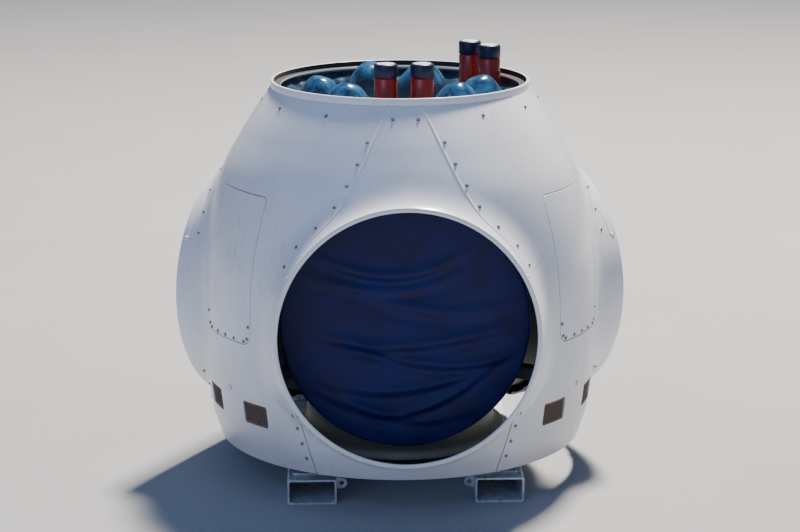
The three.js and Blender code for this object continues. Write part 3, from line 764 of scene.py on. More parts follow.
def rounded(corners, radius, steps=4):
    """A closed outline whose corners p are curves (1-t)^2 a + 2t(1-t) p + t^2 b, between points a and b set back
    by radius on its two sides."""
    p = np.asarray(corners, float)
    reach = np.broadcast_to(np.asarray(radius, float), len(p))[:, None]
    a = p + unit(np.roll(p, 1, 0) - p) * reach
    b = p + unit(np.roll(p, -1, 0) - p) * reach
    t = np.linspace(0, 1, steps)[None, :, None]
    return ((1 - t) ** 2 * a[:, None] + 2 * t * (1 - t) * p[:, None] + t**2 * b[:, None]).reshape(-1, 2)


def finer(outline, steps):
    """A closed outline with steps - 2 points added evenly on each of its sides."""
    return np.concatenate([np.linspace(a, b, steps)[:-1] for a, b in zip(outline, np.roll(outline, -1, 0))])


print("a rounded square has", len(rounded(rectangle(-1, 1, -1, 1), 0.1)), "points")

# %% [markdown]
# ## Outlines carried round and along
# One outline is turned round an axis, another is carried along a line, and a finished shape can be set
# down many times. Each is a loft of loops of points.

# %% Turned, swept and copied


def turned(profile, segments, centre=(0, 0, 0), axis=(0, 0, 1)):
    """A profile of radius and height carried round an axis through centre. It is closed, or it ends near the axis
    and gets end faces."""
    profile, axis = np.asarray(profile, float), np.asarray(axis, float)
    side = np.cross(axis, (0, 1, 0) if abs(axis[2]) > 0.5 else (0, 0, 1))
    side /= np.linalg.norm(side)
    a = circle(segments)[:, None]
    around = np.cos(a) * side + np.sin(a) * np.cross(axis, side)
    loops = centre + profile[:, :1, None] * around[None] + profile[:, 1:, None] * axis
    return loft(loops, ring=min(profile[0, 0], profile[-1, 0]) > 0.004)


def swept(path, normals, profile, closed=False):
    """A closed outline carried along a path. Its first number runs along the normal and its second across, and
    closed joins the path's ends."""
    ahead = unit(np.roll(path, -1, 0) - np.roll(path, 1, 0) if closed else np.gradient(path, axis=0))
    across = unit(np.cross(ahead, normals))
    up = np.cross(across, ahead)
    loops = path[:, None] + profile[None, :, :1] * up[:, None] + profile[None, :, 1:] * across[:, None]
    return loft(loops, ring=closed)


def copies(template, found):
    """A skin about the origin, pointing along +Z, set at each place and turned to each direction of the
    (places, directions) pairs found."""
    points, faces = template
    places, axes = (np.concatenate(part) for part in zip(*found))
    axes = unit(axes)
    side = unit(np.cross(np.where(np.abs(axes[:, 2:]) > 0.9, [[1.0, 0, 0]], [[0, 0, 1.0]]), axes))
    turn = np.stack([side, np.cross(axes, side), axes], -1)
    placed = np.einsum("nij,pj->npi", turn, points) + places[:, None]
    steps = (np.arange(len(places)) * len(points))[:, None, None]
    return placed.reshape(-1, 3), [(f[None] + steps).reshape(-1, f.shape[1]) for f in faces]


# %% [markdown]
# ## Rims, seams and seals
# The lip of each opening is rolled and drawn in the sealant's brighter white, a painted highlight, so that a thin
# bright line runs round it. A bead of white sealant lies over the upper seams, and a dab of it closes each seam's end
# beside the rim. Behind every gap a flange or a strip of laminate closes the shell.

# %% Rims, seams and seals
BEAD = np.array([[-0.003, -0.012], [0.001, -0.0115], [0.0035, -0.007], [0.0045, 0],
                 [0.0035, 0.007], [0.001, 0.0115], [-0.003, 0.012]])
DAB = turned([(0.001, 0.008), (0.014, 0.007), (0.021, 0.003), (0.024, -0.004), (0.001, -0.004)], 16)
DAB_PAST_RIM = 0.010
LIP = oval(0.0205, 0.015, 16) + ((RIM_INNER + RIM_OUTER) / 2, RIM_REACH - 0.010)
BEHIND = SHELL_THICK + 0.0005


def bar(width, thick):
    """Outline of a flat bar whose top lies on the path."""
    return rectangle(-thick, 0, -width / 2, width / 2)


def along_seam(seam, side, turn, profile, inset):
    """A profile carried along a seam, inset behind the skin."""
    u, z = (line[::3] for line in seam_line(seam, 0)[:2])
    return swept(*skin_frame(side * u, z, turn, inset), profile)


end_psi, end_q = seam_line(UPPER_SEAM, 0)[2][:1], RIM_OUTER + DAB_PAST_RIM
end_u, end_z = end_q * np.cos(end_psi), BLADE_HEIGHT + end_q * np.sin(end_psi)
half, low, high, low_round, high_round = hatch_plate
line = rounded(rectangle(-half, half, low, high), [low_round, low_round, high_round, high_round], 9)
hatch_u, hatch_z = finer(line, 12).T
hatch_size = body_radius(hatch_z) - BEHIND
hatch_turn = np.arcsin(hatch_u / hatch_size)
for k in range(3):
    turn = THIRD * k
    # The rim's bright white is a painted highlight.
    piece(f"rolled_rim_{k + 1}", turned(LIP, 180, *blade_axis(k)), [sealant_and_highlight_material])
    beads = [along_seam(UPPER_SEAM, side, turn, BEAD, 0) for side in (-1, 1)]
    beads.append(copies(DAB, [skin_frame(side * end_u, end_z, turn) for side in (-1, 1)]))
    piece(f"seam_sealant_{k + 1}", merged(beads), [sealant_and_highlight_material])
    strips = [along_seam(seam, side, turn, bar(0.070, 0.010), BEHIND)
              for seam in (UPPER_SEAM, LOWER_SEAM) for side in (-1, 1)]
    bevelled(piece(f"seam_flange_{k + 1}", merged(strips), [laminate_material]), 0.002, 1)
    out = facing(np.sin(hatch_turn), np.cos(hatch_turn), 0 * hatch_turn, PANEL_TURN + turn)
    seal = swept(on_panel((hatch_turn, hatch_size, hatch_z), k), out, bar(0.050, 0.008), closed=True)
    piece(f"hatch_seal_{k + 1}", seal, [laminate_material])
print("a seam bead has", len(beads[0][0]), "points")

# %% [markdown]
# ## Bolts and bosses
# The shell's parts are bolted together: a row beside each seam, one round the nose, and a few along the
# bottom of the hatch, where its weight rests. So a bolt is one turned shape of eight sides, and one
# piece holds all its copies. A steel washer of 36 mm spreads the load on the laminate.

# %% Bolts and bosses
BOLT = turned([(0.001, 0.012), (0.009, 0.012), (0.011, 0.010), (0.011, 0.004), (0.0165, 0.0038), (0.018, 0.002),
               (0.018, -0.004), (0.001, -0.004)], 8)
BOSS = turned([(0.001, 0.012), (0.020, 0.012), (0.026, 0.010), (0.028, 0.006), (0.029, -0.003), (0.001, -0.003)], 32)
BOSS_HEIGHT = 0.955
NOSE_ROW_HEIGHT = 3.455


def body_frame(side, z, turn):
    """Points of the body and its outward directions, side metres beside a line turned by turn degrees."""
    radius = body_radius(z)
    slope = (body_radius(z + 0.001) - body_radius(z - 0.001)) / 0.002
    azimuth = np.arcsin(side / radius)
    out = facing(np.sin(azimuth), np.cos(azimuth), -slope, turn)
    return stand(radius * np.sin(azimuth), radius * np.cos(azimuth), z, turn), unit(out)


def beside_seam(seam, heights, away=0.047):
    """Lateral distances and heights of a row of bolts on both sides of an opening, away from its seams."""
    u = through(seam[:, 1], seam[:, 0], heights) + away
    return np.concatenate([u, -u]), np.concatenate([heights, heights])


upper_row = beside_seam(UPPER_SEAM, np.linspace(3.27, 2.22, 7))
lower_row = beside_seam(LOWER_SEAM, np.array([0.88, 0.75, 0.61, 0.47]))
nose_row = body_radius(NOSE_ROW_HEIGHT) * np.sin(np.radians([-33, -5, 5, 33, 60])), np.full(5, NOSE_ROW_HEIGHT)
hatch_row = (np.array([-0.30, -0.15, 0, 0.15, 0.30, -0.345, 0.345, -0.366, 0.366]),
             np.array([1.457] * 5 + [1.487] * 2 + [1.600] * 2))
found = []
for k in range(3):
    found += [skin_frame(*row, THIRD * k) for row in (upper_row, lower_row, nose_row)]
    found.append(body_frame(*hatch_row, PANEL_TURN + THIRD * k))
made = piece("shell_bolts", copies(BOLT, found), [bolt_material])
made.data.set_sharp_from_angle(angle=SHARP)
bosses = [body_frame(np.zeros(1), np.full(1, BOSS_HEIGHT), PANEL_TURN + THIRD * k) for k in range(3)]
piece("panel_bosses", copies(BOSS, bosses), [sealant_and_highlight_material])
print(sum(len(places) for places, axes in found), "bolts")

# %% [markdown]
# ## Vents
# Low in each panel two holes are covered from within by a woven mesh in a frame, before a filter mat that is
# brown with dust. The mesh is woven here: each wire goes over one crossing wire and under the next, which is
# a cosine of the distance along it. Its 5 mm wires lie 20 mm apart.

# %% Vents
PITCH = 0.020
WEAVE = 0.0028
MESH_DEEP = 0.017
FRAME_DEEP = 0.012
FRAME_INSET = 0.009
MAT_FRONT = 0.0245
MAT_BACK = 0.040
MAT_PAST = 0.02
WIRE = oval(0.0026, 0.0026, 5)


def on_vent(side, z, deep, which, k):
    """Points at a depth behind the skin, beside and above the middle of a vent."""
    size = body_radius(VENT_HEIGHT + z) - deep
    return on_panel((which * vent_turn + np.arcsin(side / size), size, VENT_HEIGHT + z), k)


def along_vent(line, vent, profile, closed=False):
    """A profile carried along a line of side, height and depth in a vent, facing out of it."""
    side, z, deep = line
    path = on_vent(side, z, deep, *vent)
    return swept(path, path - on_vent(side, z, deep + 0.01, *vent), profile, closed)


along_z, along_u = np.linspace(-VENT_TALL, VENT_TALL, 31), np.linspace(-VENT_HALF, VENT_HALF, 49)
wires = [(u + 0 * along_z, along_z, MESH_DEEP + WEAVE * np.cos(np.pi * (along_z - u) / PITCH))
         for u in np.arange(-7, 8) * PITCH]
wires += [(along_u, z + 0 * along_u, MESH_DEEP - WEAVE * np.cos(np.pi * (along_u - z) / PITCH))
          for z in np.arange(-4, 5) * PITCH]
half, tall = VENT_HALF - FRAME_INSET, VENT_TALL - FRAME_INSET
edge = finer(rounded(rectangle(-half, half, -tall, tall), 0.01), 5)
mat = np.meshgrid(np.linspace(-VENT_HALF - MAT_PAST, VENT_HALF + MAT_PAST, 22),
                  np.linspace(-VENT_TALL - MAT_PAST, VENT_TALL + MAT_PAST, 16))
for k in range(3):
    for which, letter in ((-1, "a"), (1, "b")):
        mesh = [along_vent(line, (which, k), WIRE) for line in wires]
        mesh.append(along_vent((*edge.T, FRAME_DEEP), (which, k), bar(0.017, 0.012), closed=True))
        piece(f"woven_vent_{k + 1}{letter}", merged(mesh), [wire_material],
              [f"vent_grille_{k + 1}{letter}"])
        wall, cells = two_skins(*(on_vent(*mat, deep, which, k) for deep in (MAT_FRONT, MAT_BACK)))
        bevelled(piece(f"vent_filter_{k + 1}{letter}", wall, [filter_material]), 0.003, 1)
print("a vent mesh has", len(wires), "wires")

# %% [markdown]
# ## Nose ring
# A rolled angle ring lies on the shell's top edge and carries the nose cone. Its profile has six corners,
# rounded by a few millimetres with four points each and turned round the rotor axis. Its inner corner is
# painted near black as shade: the faces that start at seven of the profile's points take a second material.

# %% Nose ring
RING_TOP = ring_high[2]
RING_OUTER = (ring_high[0] - ring_low[0]) / 2
RING_INNER = 1.160
RING_LIP = 1.095
RING_FOOT = SHELL_TOP + 0.0005
RING_SHELF = SHELL_TOP + 0.018
RING_STEPS = 180
SHADE_FROM, SHADE_TO = 14, 21
profile = rounded([(RING_LIP, RING_FOOT), (RING_OUTER, RING_FOOT), (RING_OUTER, RING_TOP), (RING_INNER, RING_TOP),
                   (RING_INNER, RING_SHELF), (RING_LIP, RING_SHELF)], [0.003, 0.003, 0.008, 0.008, 0.004, 0.003])
ring = turned(profile, RING_STEPS, AXIS)
# The faces of the inner corner take the near black painted shade.
piece("nose_ring_rolled", ring, [gelcoat_material, painted_shade_black], ["nose_ring"],
      second=(SHADE_FROM * RING_STEPS, SHADE_TO * RING_STEPS))
print("nose ring", len(ring[1][0]), "faces")

# %% [markdown]
# ## Hub casting
# The casting is poured in one, so where a stub meets the ball there is a fillet, never a sharp line. Here the
# forms are laid through each other, and a Remesh modifier makes one skin of them, which is then relaxed: that
# rounds every inner corner much as a foundry's fillet does.

# %% Hub casting
CORE_RADIUS = 1.010
STUB_RADIUS = 1.058
STUB_REACH = 1.040
NECK_RADIUS = 0.880
NECK_BORE = 0.640
NECK_TOP = 1.0
VOXEL = 0.031
FLANGE_RADIUS = 1.000
FLANGE_BASE = 0.260
FLANGE_TOP = 0.340
SEAT_BASE = 2.40
SEAT_TOP = 2.720
SEAT_PAST = 0.13
SEAT_HALF = 0.11
BOTTLE_OUT = 0.880
BOTTLE_SIDE = 0.160


def slab(outline, low, high):
    """An outline of x and y carried from one height to another."""
    return loft(np.stack([np.column_stack([outline, np.full(len(outline), z)]) for z in (low, high)]))


ball = np.linspace(-np.pi / 2, np.pi / 2, 25)
core = np.stack([np.maximum(CORE_RADIUS * np.cos(ball), 0.002), CORE_RADIUS * np.sin(ball)], 1)
stub = [(0.002, 0.1), (STUB_RADIUS - 0.03, 0.1), (STUB_RADIUS, 0.6), (STUB_RADIUS, STUB_REACH), (0.002, STUB_REACH)]
neck = [(NECK_BORE, FLANGE_BASE), (FLANGE_RADIUS, FLANGE_BASE), (FLANGE_RADIUS, FLANGE_TOP), (NECK_RADIUS, 0.400),
        (NECK_RADIUS, NECK_TOP), (NECK_BORE, NECK_TOP)]
seat = rectangle(-BOTTLE_SIDE - SEAT_PAST, BOTTLE_SIDE + SEAT_PAST, BOTTLE_OUT - SEAT_HALF, BOTTLE_OUT + SEAT_HALF)
forms = [turned(core, 64, AXIS + (0, 0, BLADE_HEIGHT))] + [turned(stub, 72, *blade_axis(k)) for k in range(3)]
forms += [slab(stand(*seat.T, 0, THIRD * k)[:, :2], SEAT_BASE, SEAT_TOP) for k in range(2)]
forms.append(turned(neck, 72, AXIS))
casting = piece("hub_casting_filleted", merged(forms), [casting_material], ["hub_casting"])
remesh = casting.modifiers.new("one skin", "REMESH")
remesh.mode = "VOXEL"
remesh.voxel_size = VOXEL
remesh.use_smooth_shade = True
relax = casting.modifiers.new("foundry fillets", "SMOOTH")
relax.factor = 0.5
relax.iterations = 3
print("casting laid out of", len(forms), "forms")

# %% [markdown]
# ## Blade bearings
# Each bearing is two forged rings with a ball race between them, their edges turned with small chamfers.
# Both are rectangles turned round the blade axis, given by inner and outer radius and by how far out they end.

# %% Blade bearings
RACE_BACK = 1.0404
RACES = {"outer": (0.962, 1.058, 1.135), "inner": (0.835, 0.950, 1.153)}
for k in range(3):
    for (kind, (inner, outer, front)), body in zip(RACES.items(), ("hub", f"blade_root_{k + 1}")):
        profile = rounded(rectangle(inner, outer, RACE_BACK, front), 0.005, 3)
        piece(f"bearing_{kind}_race_{k + 1}", turned(profile, 144, *blade_axis(k)), [bearing_material],
              [f"bearing_{kind}_ring_{k + 1}"], body)
print("bearing rings of", len(profile), "points carried round")

# %% [markdown]
# ## Blade covers
# Each cover is a round tarpaulin pulled over the bearing and tied behind it, like a drum's skin. Cloth held
# at its edge sags under its own weight: long shallow folds hang from the sides like smiles, most of them in
# the lower half, and the slack cloth hangs a little lower than a circle. Beyond the edge the cloth turns back
# as a skirt with small gathers, down to a rolled hem with a cord in it.

# %% The cloth's relief and cut
COVER_EDGE = 1.118
COVER_FACE = 1.172
COVER_CURL = 0.02
COVER_SLACK = 0.024
SKIRT_DEEP = 0.105
FACE_ROWS, EDGE_ROWS, SKIRT_ROWS, COVER_COLUMNS = 54, 6, 9, 240
# Each fold: its height in the middle, how fast its ends rise, its width, how far it stands out, its middle.
FOLDS = ((-0.24, 0.22, 0.050, 0.030, 0.00), (-0.40, 0.30, 0.042, 0.024, 0.30), (-0.74, 0.46, 0.040, 0.032, -0.15),
         (-0.58, 0.24, 0.045, 0.020, -0.05), (-0.90, 0.52, 0.045, 0.020, 0.15), (0.47, 0.38, 0.050, 0.022, -0.20),
         (0.13, 0.22, 0.060, 0.012, 0.35), (0.30, 0.34, 0.045, 0.014, -0.30))


def smile(x, z, low, sag, width, lift, seed):
    """Height of one hanging fold: a ridge along a parabola through low in the middle, fading to its ends."""
    line = low + sag * (x - seed) ** 2 + 0.05 * np.sin(2.3 * x + 9 * seed)
    return lift * np.exp(-((z - line) / width) ** 2) * np.exp(-((x - seed) / 0.75) ** 4)


def cover_relief(x, z, k):
    """Distance that the cloth stands out of its plane: a slack belly low down, and folds with a hollow below."""
    rng = np.random.default_rng(40 + k)
    distance = np.hypot(x, z)
    hold = np.clip((1.08 - distance) / 0.22, 0, 1) ** 0.8
    relief = 0.020 * np.exp(-((z + 0.35) / 0.5) ** 2) * np.cos(np.clip(distance, 0, 1) * np.pi / 2)
    for low, sag, width, lift, seed in FOLDS:
        low, sag = low + rng.uniform(-0.03, 0.03), sag * rng.uniform(0.85, 1.2)
        seed = (seed + rng.uniform(-0.08, 0.08)) * (-1 if k == 1 else 1)
        lift = lift * (0.75 + 0.25 * np.sin(rng.uniform(2, 4) * x + rng.uniform(0, 6)))
        relief += smile(x, z, low, sag, width, lift, seed)
        relief -= smile(x, z, low - 1.7 * width, sag, width, 0.7 * lift, seed)
    return relief * hold


def cover(k):
    """Points of a cover, its flat cut, and the cut's radius. The first number along the cloth runs from its middle
    over the face, a quarter circle at the edge and back along the skirt; the second runs round it."""
    angle = circle(COVER_COLUMNS)[None]
    radius = np.linspace(0.004, COVER_EDGE - COVER_CURL, FACE_ROWS)[:, None]
    turn = np.linspace(0, np.pi / 2, EDGE_ROWS + 1)[1:, None]
    deep = np.linspace(0, SKIRT_DEEP, SKIRT_ROWS + 1)[1:, None]
    gather = 0.005 * np.sin(37 * angle + k) + 0.004 * np.sin(61 * angle + 2.1 * k)
    slack = COVER_SLACK * np.maximum(-np.sin(angle), 0) ** 3
    edge = COVER_EDGE + slack
    relief = cover_relief(radius * np.cos(angle), radius * np.sin(angle), k)
    far = np.concatenate([radius * (1 + slack / COVER_EDGE), edge - COVER_CURL + COVER_CURL * np.sin(turn),
                          edge + gather * np.minimum(deep / 0.05, 1) - 0.008 * (deep / SKIRT_DEEP) ** 4])
    out = np.concatenate([COVER_FACE + relief, COVER_FACE - COVER_CURL * (1 - np.cos(turn)) + 0 * angle,
                          COVER_FACE - COVER_CURL - deep * (1 + 0.03 * np.sin(9 * angle + k))])
    flat = np.concatenate([[0.004], np.hypot(np.diff(far.mean(1)), np.diff(out.mean(1)))]).cumsum()
    points = stand(far * np.cos(angle), out, BLADE_HEIGHT + far * np.sin(angle), THIRD * k)
    return points, flat[:, None] * np.cos(angle), flat[:, None] * np.sin(angle), flat[-1]


# %% [markdown]
# ## Cloth as a piece
# A sheet is an open grid round its middle, closed there by one small face. It gets its thickness from a
# Solidify modifier, and a UV map holds each point's place on the flat cloth, so that the weave follows it.

# %% Blade covers
CLOTH_THICK = 0.0025
CORD = oval(0.006, 0.006, 8)


def sheet(name, points, thick, materials, replaces, body="hub"):
    """A round sheet from a grid of points, thickened inwards."""
    rows, columns = points.shape[:2]
    skin = points.reshape(-1, 3), [grid_quads(rows, columns, around=True), np.arange(columns)[None, ::-1]]
    made = piece(name, skin, materials, replaces, body)
    solid = made.modifiers.new("cloth thickness", "SOLIDIFY")
    solid.thickness, solid.offset, solid.use_even_offset = thick, -1, False
    return made


def with_cut(made, u, v):
    """Keeps each point's place on the flat cloth as a UV map, in metres."""
    mesh = made.data
    index = np.empty(len(mesh.loops), np.int32)
    mesh.loops.foreach_get("vertex_index", index)
    layer = mesh.uv_layers.new(name="cut")
    layer.data.foreach_set("uv", np.stack([u.ravel()[index], v.ravel()[index]], 1).astype(np.float32).ravel())


around = circle(COVER_COLUMNS)
for k in range(3):
    points, cut_u, cut_v, cut_radius = cover(k)
    body = f"blade_root_{k + 1}"
    made = sheet(f"tarpaulin_cover_{k + 1}", points, CLOTH_THICK, [cloth_material],
                 [f"blade_cover_{k + 1}"], body)
    with_cut(made, cut_u, cut_v)
    away = facing(np.cos(around), 0 * around, np.sin(around), THIRD * k)
    # The hem cord's pale colour is a painted highlight along the cover's lower edge.
    hem = piece(f"cover_hem_{k + 1}", swept(points[-1], away, CORD, closed=True), [pale_highlight_material],
                body=body)

# %% [markdown]
# ## Film over the nose
# Shiny stretch film is drawn over everything inside the nose and taped under the ring. It stands up in domes
# over the fittings beside the blades and sags towards the middle. A dome is a bell curve with a flat top, and
# the film pulls itself into small folds round each dome and along its edge.

# %% Film over the nose
FILM_EDGE = 3.530
FILM_SAG = 0.240
FILM_RADIUS = 1.195
FILM_THICK = 0.002
FILM_ROWS, FILM_COLUMNS = 84, 230
DOME_PLACE = 0.720
DOME_TURN = 41
DOME_RISE = 0.285
DOME_WIDTH = 0.215


def film_height(x, y):
    """Height of the film: a bowl, six domes on it, and the folds that run out from the domes and in from the
    edge."""
    k = np.arange(6)
    turn = np.radians(THIRD * (k // 2) + np.where(k % 2, DOME_TURN, -DOME_TURN))
    dx, dy = x[..., None] - DOME_PLACE * np.sin(turn), y[..., None] + DOME_PLACE * np.cos(turn)
    away, bearing = np.hypot(dx, dy), np.arctan2(dy, dx)
    dome = (DOME_RISE * np.exp(-(away / DOME_WIDTH) ** 3.2)).sum(-1)
    pull = (0.007 * np.sin(6 * bearing + 2 * k + 5 * away) * np.exp(-((away - 0.27) / 0.11) ** 2)).sum(-1)
    size, round_axis = np.hypot(x, y), np.arctan2(y, x)
    gather = 0.010 * np.sin(23 * round_axis + 2 * np.sin(5 * round_axis)) * np.clip((size - 0.85) / 0.25, 0, 1)
    ease = np.clip((FILM_RADIUS - size) / 0.06, 0, 1)
    return FILM_EDGE - FILM_SAG * (1 - (size / FILM_RADIUS) ** 2) + dome + (pull + gather) * ease


size = np.linspace(0.004, FILM_RADIUS, FILM_ROWS)[:, None]
angle = circle(FILM_COLUMNS)[None]
film_x, film_y = size * np.cos(angle), size * np.sin(angle)
film_points = np.stack([AXIS[0] + film_x, AXIS[1] + film_y, film_height(film_x, film_y)], -1)
made = sheet("stretch_film_nose", film_points, FILM_THICK, [film_material], ["nose_wrap"])
print("film from", film_points[..., 2].min().round(3), "to", film_points[..., 2].max().round(3), "m high")

# %% [markdown]
# ## Accumulators
# Four pressure bottles stand in pairs on the casting. A bottle is a drawn steel tube with a rounded foot,
# and over its valve it has a plastic cap whose top is drawn pale as a painted highlight. Each is a profile turned round
# its own axis.

# %% Accumulators
BOTTLE_RADIUS = 0.103
BOTTLE_FOOT = 0.045
BOTTLE_SHOULDER = 3.770
BOTTLE_TOP = 3.893
BOTTLE_STEPS = 48
CAP_RADIUS = BOTTLE_RADIUS + 0.003
a = np.linspace(0, np.pi / 2, 6)
foot = np.stack([BOTTLE_RADIUS - BOTTLE_FOOT * (1 - np.sin(a)), SEAT_TOP + 0.046 - BOTTLE_FOOT * np.cos(a)], 1)
tube = [(0.002, SEAT_TOP + 0.001), *foot, *((BOTTLE_RADIUS, z) for z in (3.0, 3.3, 3.6, BOTTLE_SHOULDER - 0.02)),
        (BOTTLE_RADIUS - 0.006, BOTTLE_SHOULDER - 0.004), (BOTTLE_RADIUS - 0.02, BOTTLE_SHOULDER),
        (0.002, BOTTLE_SHOULDER)]
# The painted highlight is the top four rows of the cap's faces and its end faces, the lower of which is hidden.
HIGHLIGHT_FROM, HIGHLIGHT_TO = 6, 10
cap = [(0.002, BOTTLE_SHOULDER + 0.0006), (CAP_RADIUS - 0.002, BOTTLE_SHOULDER + 0.0006),
       (CAP_RADIUS, BOTTLE_SHOULDER + 0.004), (CAP_RADIUS, BOTTLE_TOP - 0.026),
       (CAP_RADIUS - 0.004, BOTTLE_TOP - 0.014), (CAP_RADIUS - 0.014, BOTTLE_TOP - 0.005),
       (CAP_RADIUS - 0.028, BOTTLE_TOP - 0.004),
       (CAP_RADIUS - 0.034, BOTTLE_TOP - 0.008), (0.06, BOTTLE_TOP - 0.008), (0.052, BOTTLE_TOP), (0.002, BOTTLE_TOP)]
for i in range(4):
    place = stand((-1, 1)[i % 2] * BOTTLE_SIDE, BOTTLE_OUT, 0, THIRD * (i // 2))
    piece(f"accumulator_bottle_{i + 1}", turned(tube, BOTTLE_STEPS, place), [red_material],
          [f"accumulator_{i + 1}"])
    piece(f"accumulator_valve_cap_{i + 1}", turned(cap, BOTTLE_STEPS, place), [cap_material, pale_highlight_material],
          [f"accumulator_cap_{i + 1}"], second=(HIGHLIGHT_FROM * BOTTLE_STEPS, HIGHLIGHT_TO * BOTTLE_STEPS + 2))
print("bottles", round(BOTTLE_SHOULDER - SEAT_TOP, 3), "m tall under their caps")

# %% [markdown]
# ## Transport beams
# The hub stands on two hollow beams of folded and welded plate, hot-dip galvanised. A beam is a tube: an
# outer and an inner rounded rectangle, joined at both open ends. The lugs near its ends are flame-cut rounds
# with an eye for the lashing chain. A lug's outline is found at even angles round its eye, so that outline
# and eye have the same number of points and can be joined.

# %% Transport beams
BEAM_SIDE = 0.840
BEAM_WIDE = 0.440
BEAM_TALL = 0.230
BEAM_WALL = 0.018
BEAM_LONG = 2.800
LUG_PLACE = 1.290
LUG_HEIGHT = 0.166
LUG_RADIUS = 0.046
LUG_EYE = 0.020
LUG_REACH = 0.048
LUG_HALF = 0.01


def beam_tube(side):
    """The tube of a beam: its outer and inner outline at both ends, joined in a ring."""
    loops = []
    for inset, curve, ends in ((0, 0.028, (1, -1)), (BEAM_WALL, 0.012, (-1, 1))):
        half = BEAM_WIDE / 2 - inset
        outline = rounded(rectangle(-half, half, inset, BEAM_TALL - inset), curve, 6)
        loops += [stand(side * BEAM_SIDE + outline[:, 0], end * BEAM_LONG / 2, outline[:, 1], 0) for end in ends]
    return loft(np.array(loops), ring=True)


def lug(side, place):
    """A plate that runs from the beam to a half round about its eye."""
    root, tip = (side * (BEAM_SIDE - BEAM_WIDE / 2 + reach) for reach in (0.003, -LUG_REACH))
    a = np.linspace(-np.pi / 2, np.pi / 2, 13)
    arc = np.stack([-side * LUG_RADIUS * np.cos(a), LUG_RADIUS * np.sin(a)], 1)
    outline = np.concatenate([arc, [[root - tip, LUG_RADIUS], [root - tip, -LUG_RADIUS]]])
    bearing = np.arctan2(outline[:, 1], outline[:, 0])
    order = np.argsort(bearing)
    fine = np.linspace(-np.pi, np.pi, 49)[:-1]
    size = np.interp(fine, bearing[order], np.hypot(*outline[order].T), period=2 * np.pi)
    loops = [stand(tip + radius * np.cos(fine), place + away, LUG_HEIGHT + radius * np.sin(fine), 0)
             for radius, away in ((size, -LUG_HALF), (size, LUG_HALF), (LUG_EYE, LUG_HALF), (LUG_EYE, -LUG_HALF))]
    return loft(np.array(loops), ring=True)


beams = {side: merged([beam_tube(side)] + [lug(side, end * LUG_PLACE) for end in (-1, 1)]) for side in (-1, 1)}
print("beams", BEAM_LONG, "m long,", 2 * BEAM_SIDE, "m apart, of", len(beams[1][0]), "points")

# %% [markdown]
# ## Saddle pads and clamps
# A pad lies on each beam under the shaft flange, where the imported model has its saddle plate, and a bolted
# plate near each end clamps the beam down. All of these are cut plates: an outline carried upwards.

# %% Beams, saddle pads and clamps
CLAMP_PLACE = 1.150
CLAMP_HALF = np.array([0.17, 0.11])
CLAMP_BOLT = np.array([0.13, 0.07])
CLAMP_TOP = BEAM_TALL + 0.020
CORNERS = rectangle(-1, 1, -1, 1)
for name, side in (("left", -1), ("right", 1)):
    bevelled(piece(f"galvanised_beam_{name}", beams[side], [zinc_material], [f"skid_beam_{name}"]), 0.002)
    low, high = span(f"saddle_plate_{name}")
    pad = slab(rounded(rectangle(low[0], high[0], low[1], high[1]), 0.03, 5), low[2], high[2])
    bevelled(piece(f"saddle_pad_{name}", pad, [zinc_material], [f"saddle_plate_{name}"]), 0.002)
    middles = [np.array([side * BEAM_SIDE, AXIS[1] + end * CLAMP_PLACE]) for end in (-1, 1)]
    plates = [slab(rounded(middle + CORNERS * CLAMP_HALF, 0.02), BEAM_TALL - 0.001, CLAMP_TOP) for middle in middles]
    bevelled(piece(f"clamp_plates_{name}", merged(plates), [zinc_material]), 0.003)
    found = [(np.column_stack([middle + CORNERS * CLAMP_BOLT, np.full(4, CLAMP_TOP)]), np.tile([0, 0, 1.0], (4, 1)))
             for middle in middles]
    made = piece(f"clamp_bolts_{name}", copies(BOLT, found), [bolt_material])
    made.data.set_sharp_from_angle(angle=SHARP)
print("clamp plates", 2 * CLAMP_HALF, "m")

# %% [markdown]
# ## Shell brackets
# Steel arms hold the side panels off the casting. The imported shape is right, so its mesh is copied, its
# loose triangles are merged, and a bevel rounds the edges.

# %% Shell brackets


def merged_copy(node, name):
    """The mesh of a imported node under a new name, with its triangles joined where their corners meet."""
    copy = bmesh.new()
    copy.from_mesh(frame["nodes"][node].data)
    bmesh.ops.remove_doubles(copy, verts=copy.verts, dist=1e-5)
    bmesh.ops.dissolve_limit(copy, angle_limit=np.radians(1), verts=copy.verts, edges=copy.edges)
    mesh = bpy.data.meshes.new(name)
    copy.to_mesh(mesh)
    copy.free()
    return mesh


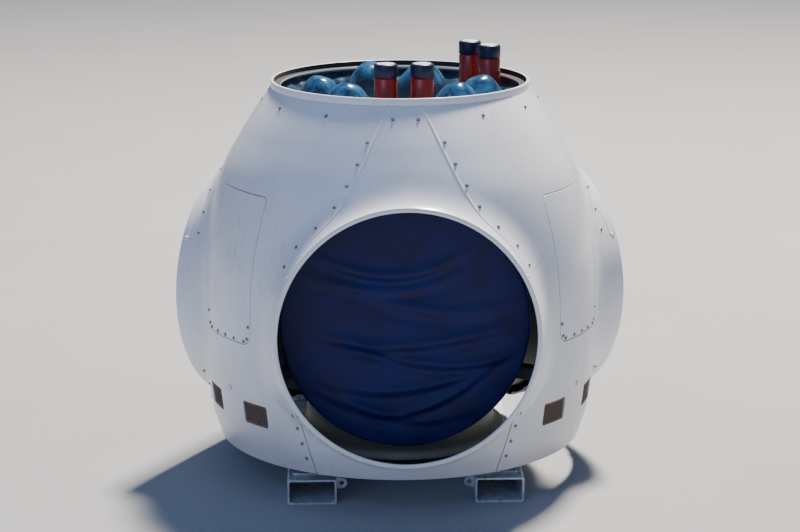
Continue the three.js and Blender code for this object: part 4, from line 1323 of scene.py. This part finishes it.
for k in range(3):
    node, name = f"shell_bracket_{k + 1}", f"bracket_arm_{k + 1}"
    made = dressed(name, merged_copy(node, name), [casting_material], [node])
    bevel = made.modifiers.new("rounded edges", "BEVEL")
    bevel.width, bevel.segments = 0.003, 2
print("a bracket has", len(made.data.polygons), "faces")

# %% [markdown]
# ## Floor, light and camera
# The floor is a plain pale plane. A soft sun stands high and far behind the hub, so that the floor is lit
# evenly, and a wide dim panel in front fills the shadows. The camera has the photograph's viewing angle: it
# stands 20.4 m away and 6.8 m up, and looks slightly down.

# %% Floor, light and camera
FLOOR_HALF = 120
floor_material = mottled("pale_studio_floor", 2.5, ("#a2a5a9", "#999ca1"), detail=3, Roughness=0.85)[0]
floor_mesh = bpy.data.meshes.new("floor")
floor_corners = rectangle(-FLOOR_HALF, FLOOR_HALF, -FLOOR_HALF, FLOOR_HALF)
floor_mesh.from_pydata(np.column_stack([floor_corners, np.zeros(4)]).tolist(), [], [(0, 1, 2, 3)])
floor_mesh.materials.append(floor_material)
in_scene("floor", floor_mesh)


def aimed(name, data, place, target):
    """A lamp or camera at place that looks at target."""
    made = in_scene(name, data)
    made.location = place
    made.rotation_euler = (Vector(target) - Vector(place)).to_track_quat("-Z", "Y").to_euler()
    return made


for name, place, target, size, power, colour in (("high_sun", (8.2, 15.8, 36.8), (0, 0, 2), 5.6, 60000, "#fff3e2"),
                                                 ("front_fill", (-7, -15, 10), (0, 0, 1.5), 12, 820, "#a9c4ff")):
    lamp = bpy.data.lights.new(name, "AREA")
    lamp.size, lamp.energy, lamp.color = size, power, linear(colour)[:3]
    aimed(name, lamp, place, target)
world = bpy.data.worlds.new("soft daylight")
world.use_nodes = True
feed(world.node_tree.nodes["Background"], ["#a6c1f6", 0.30])
bpy.context.scene.world = world
view = bpy.data.cameras.new("photograph")
view.lens, view.sensor_width = 101, 36
bpy.context.scene.camera = aimed("photograph", view, (-0.80, -20.49, 6.76), (0, -0.07, 1.85))
print("camera lens of", view.lens, "mm on", view.sensor_width, "mm")

# %% [markdown]
# ## Last update
# The view layer is updated, so that every piece stands where its body puts it.

# %% Update
bpy.context.view_layer.update()
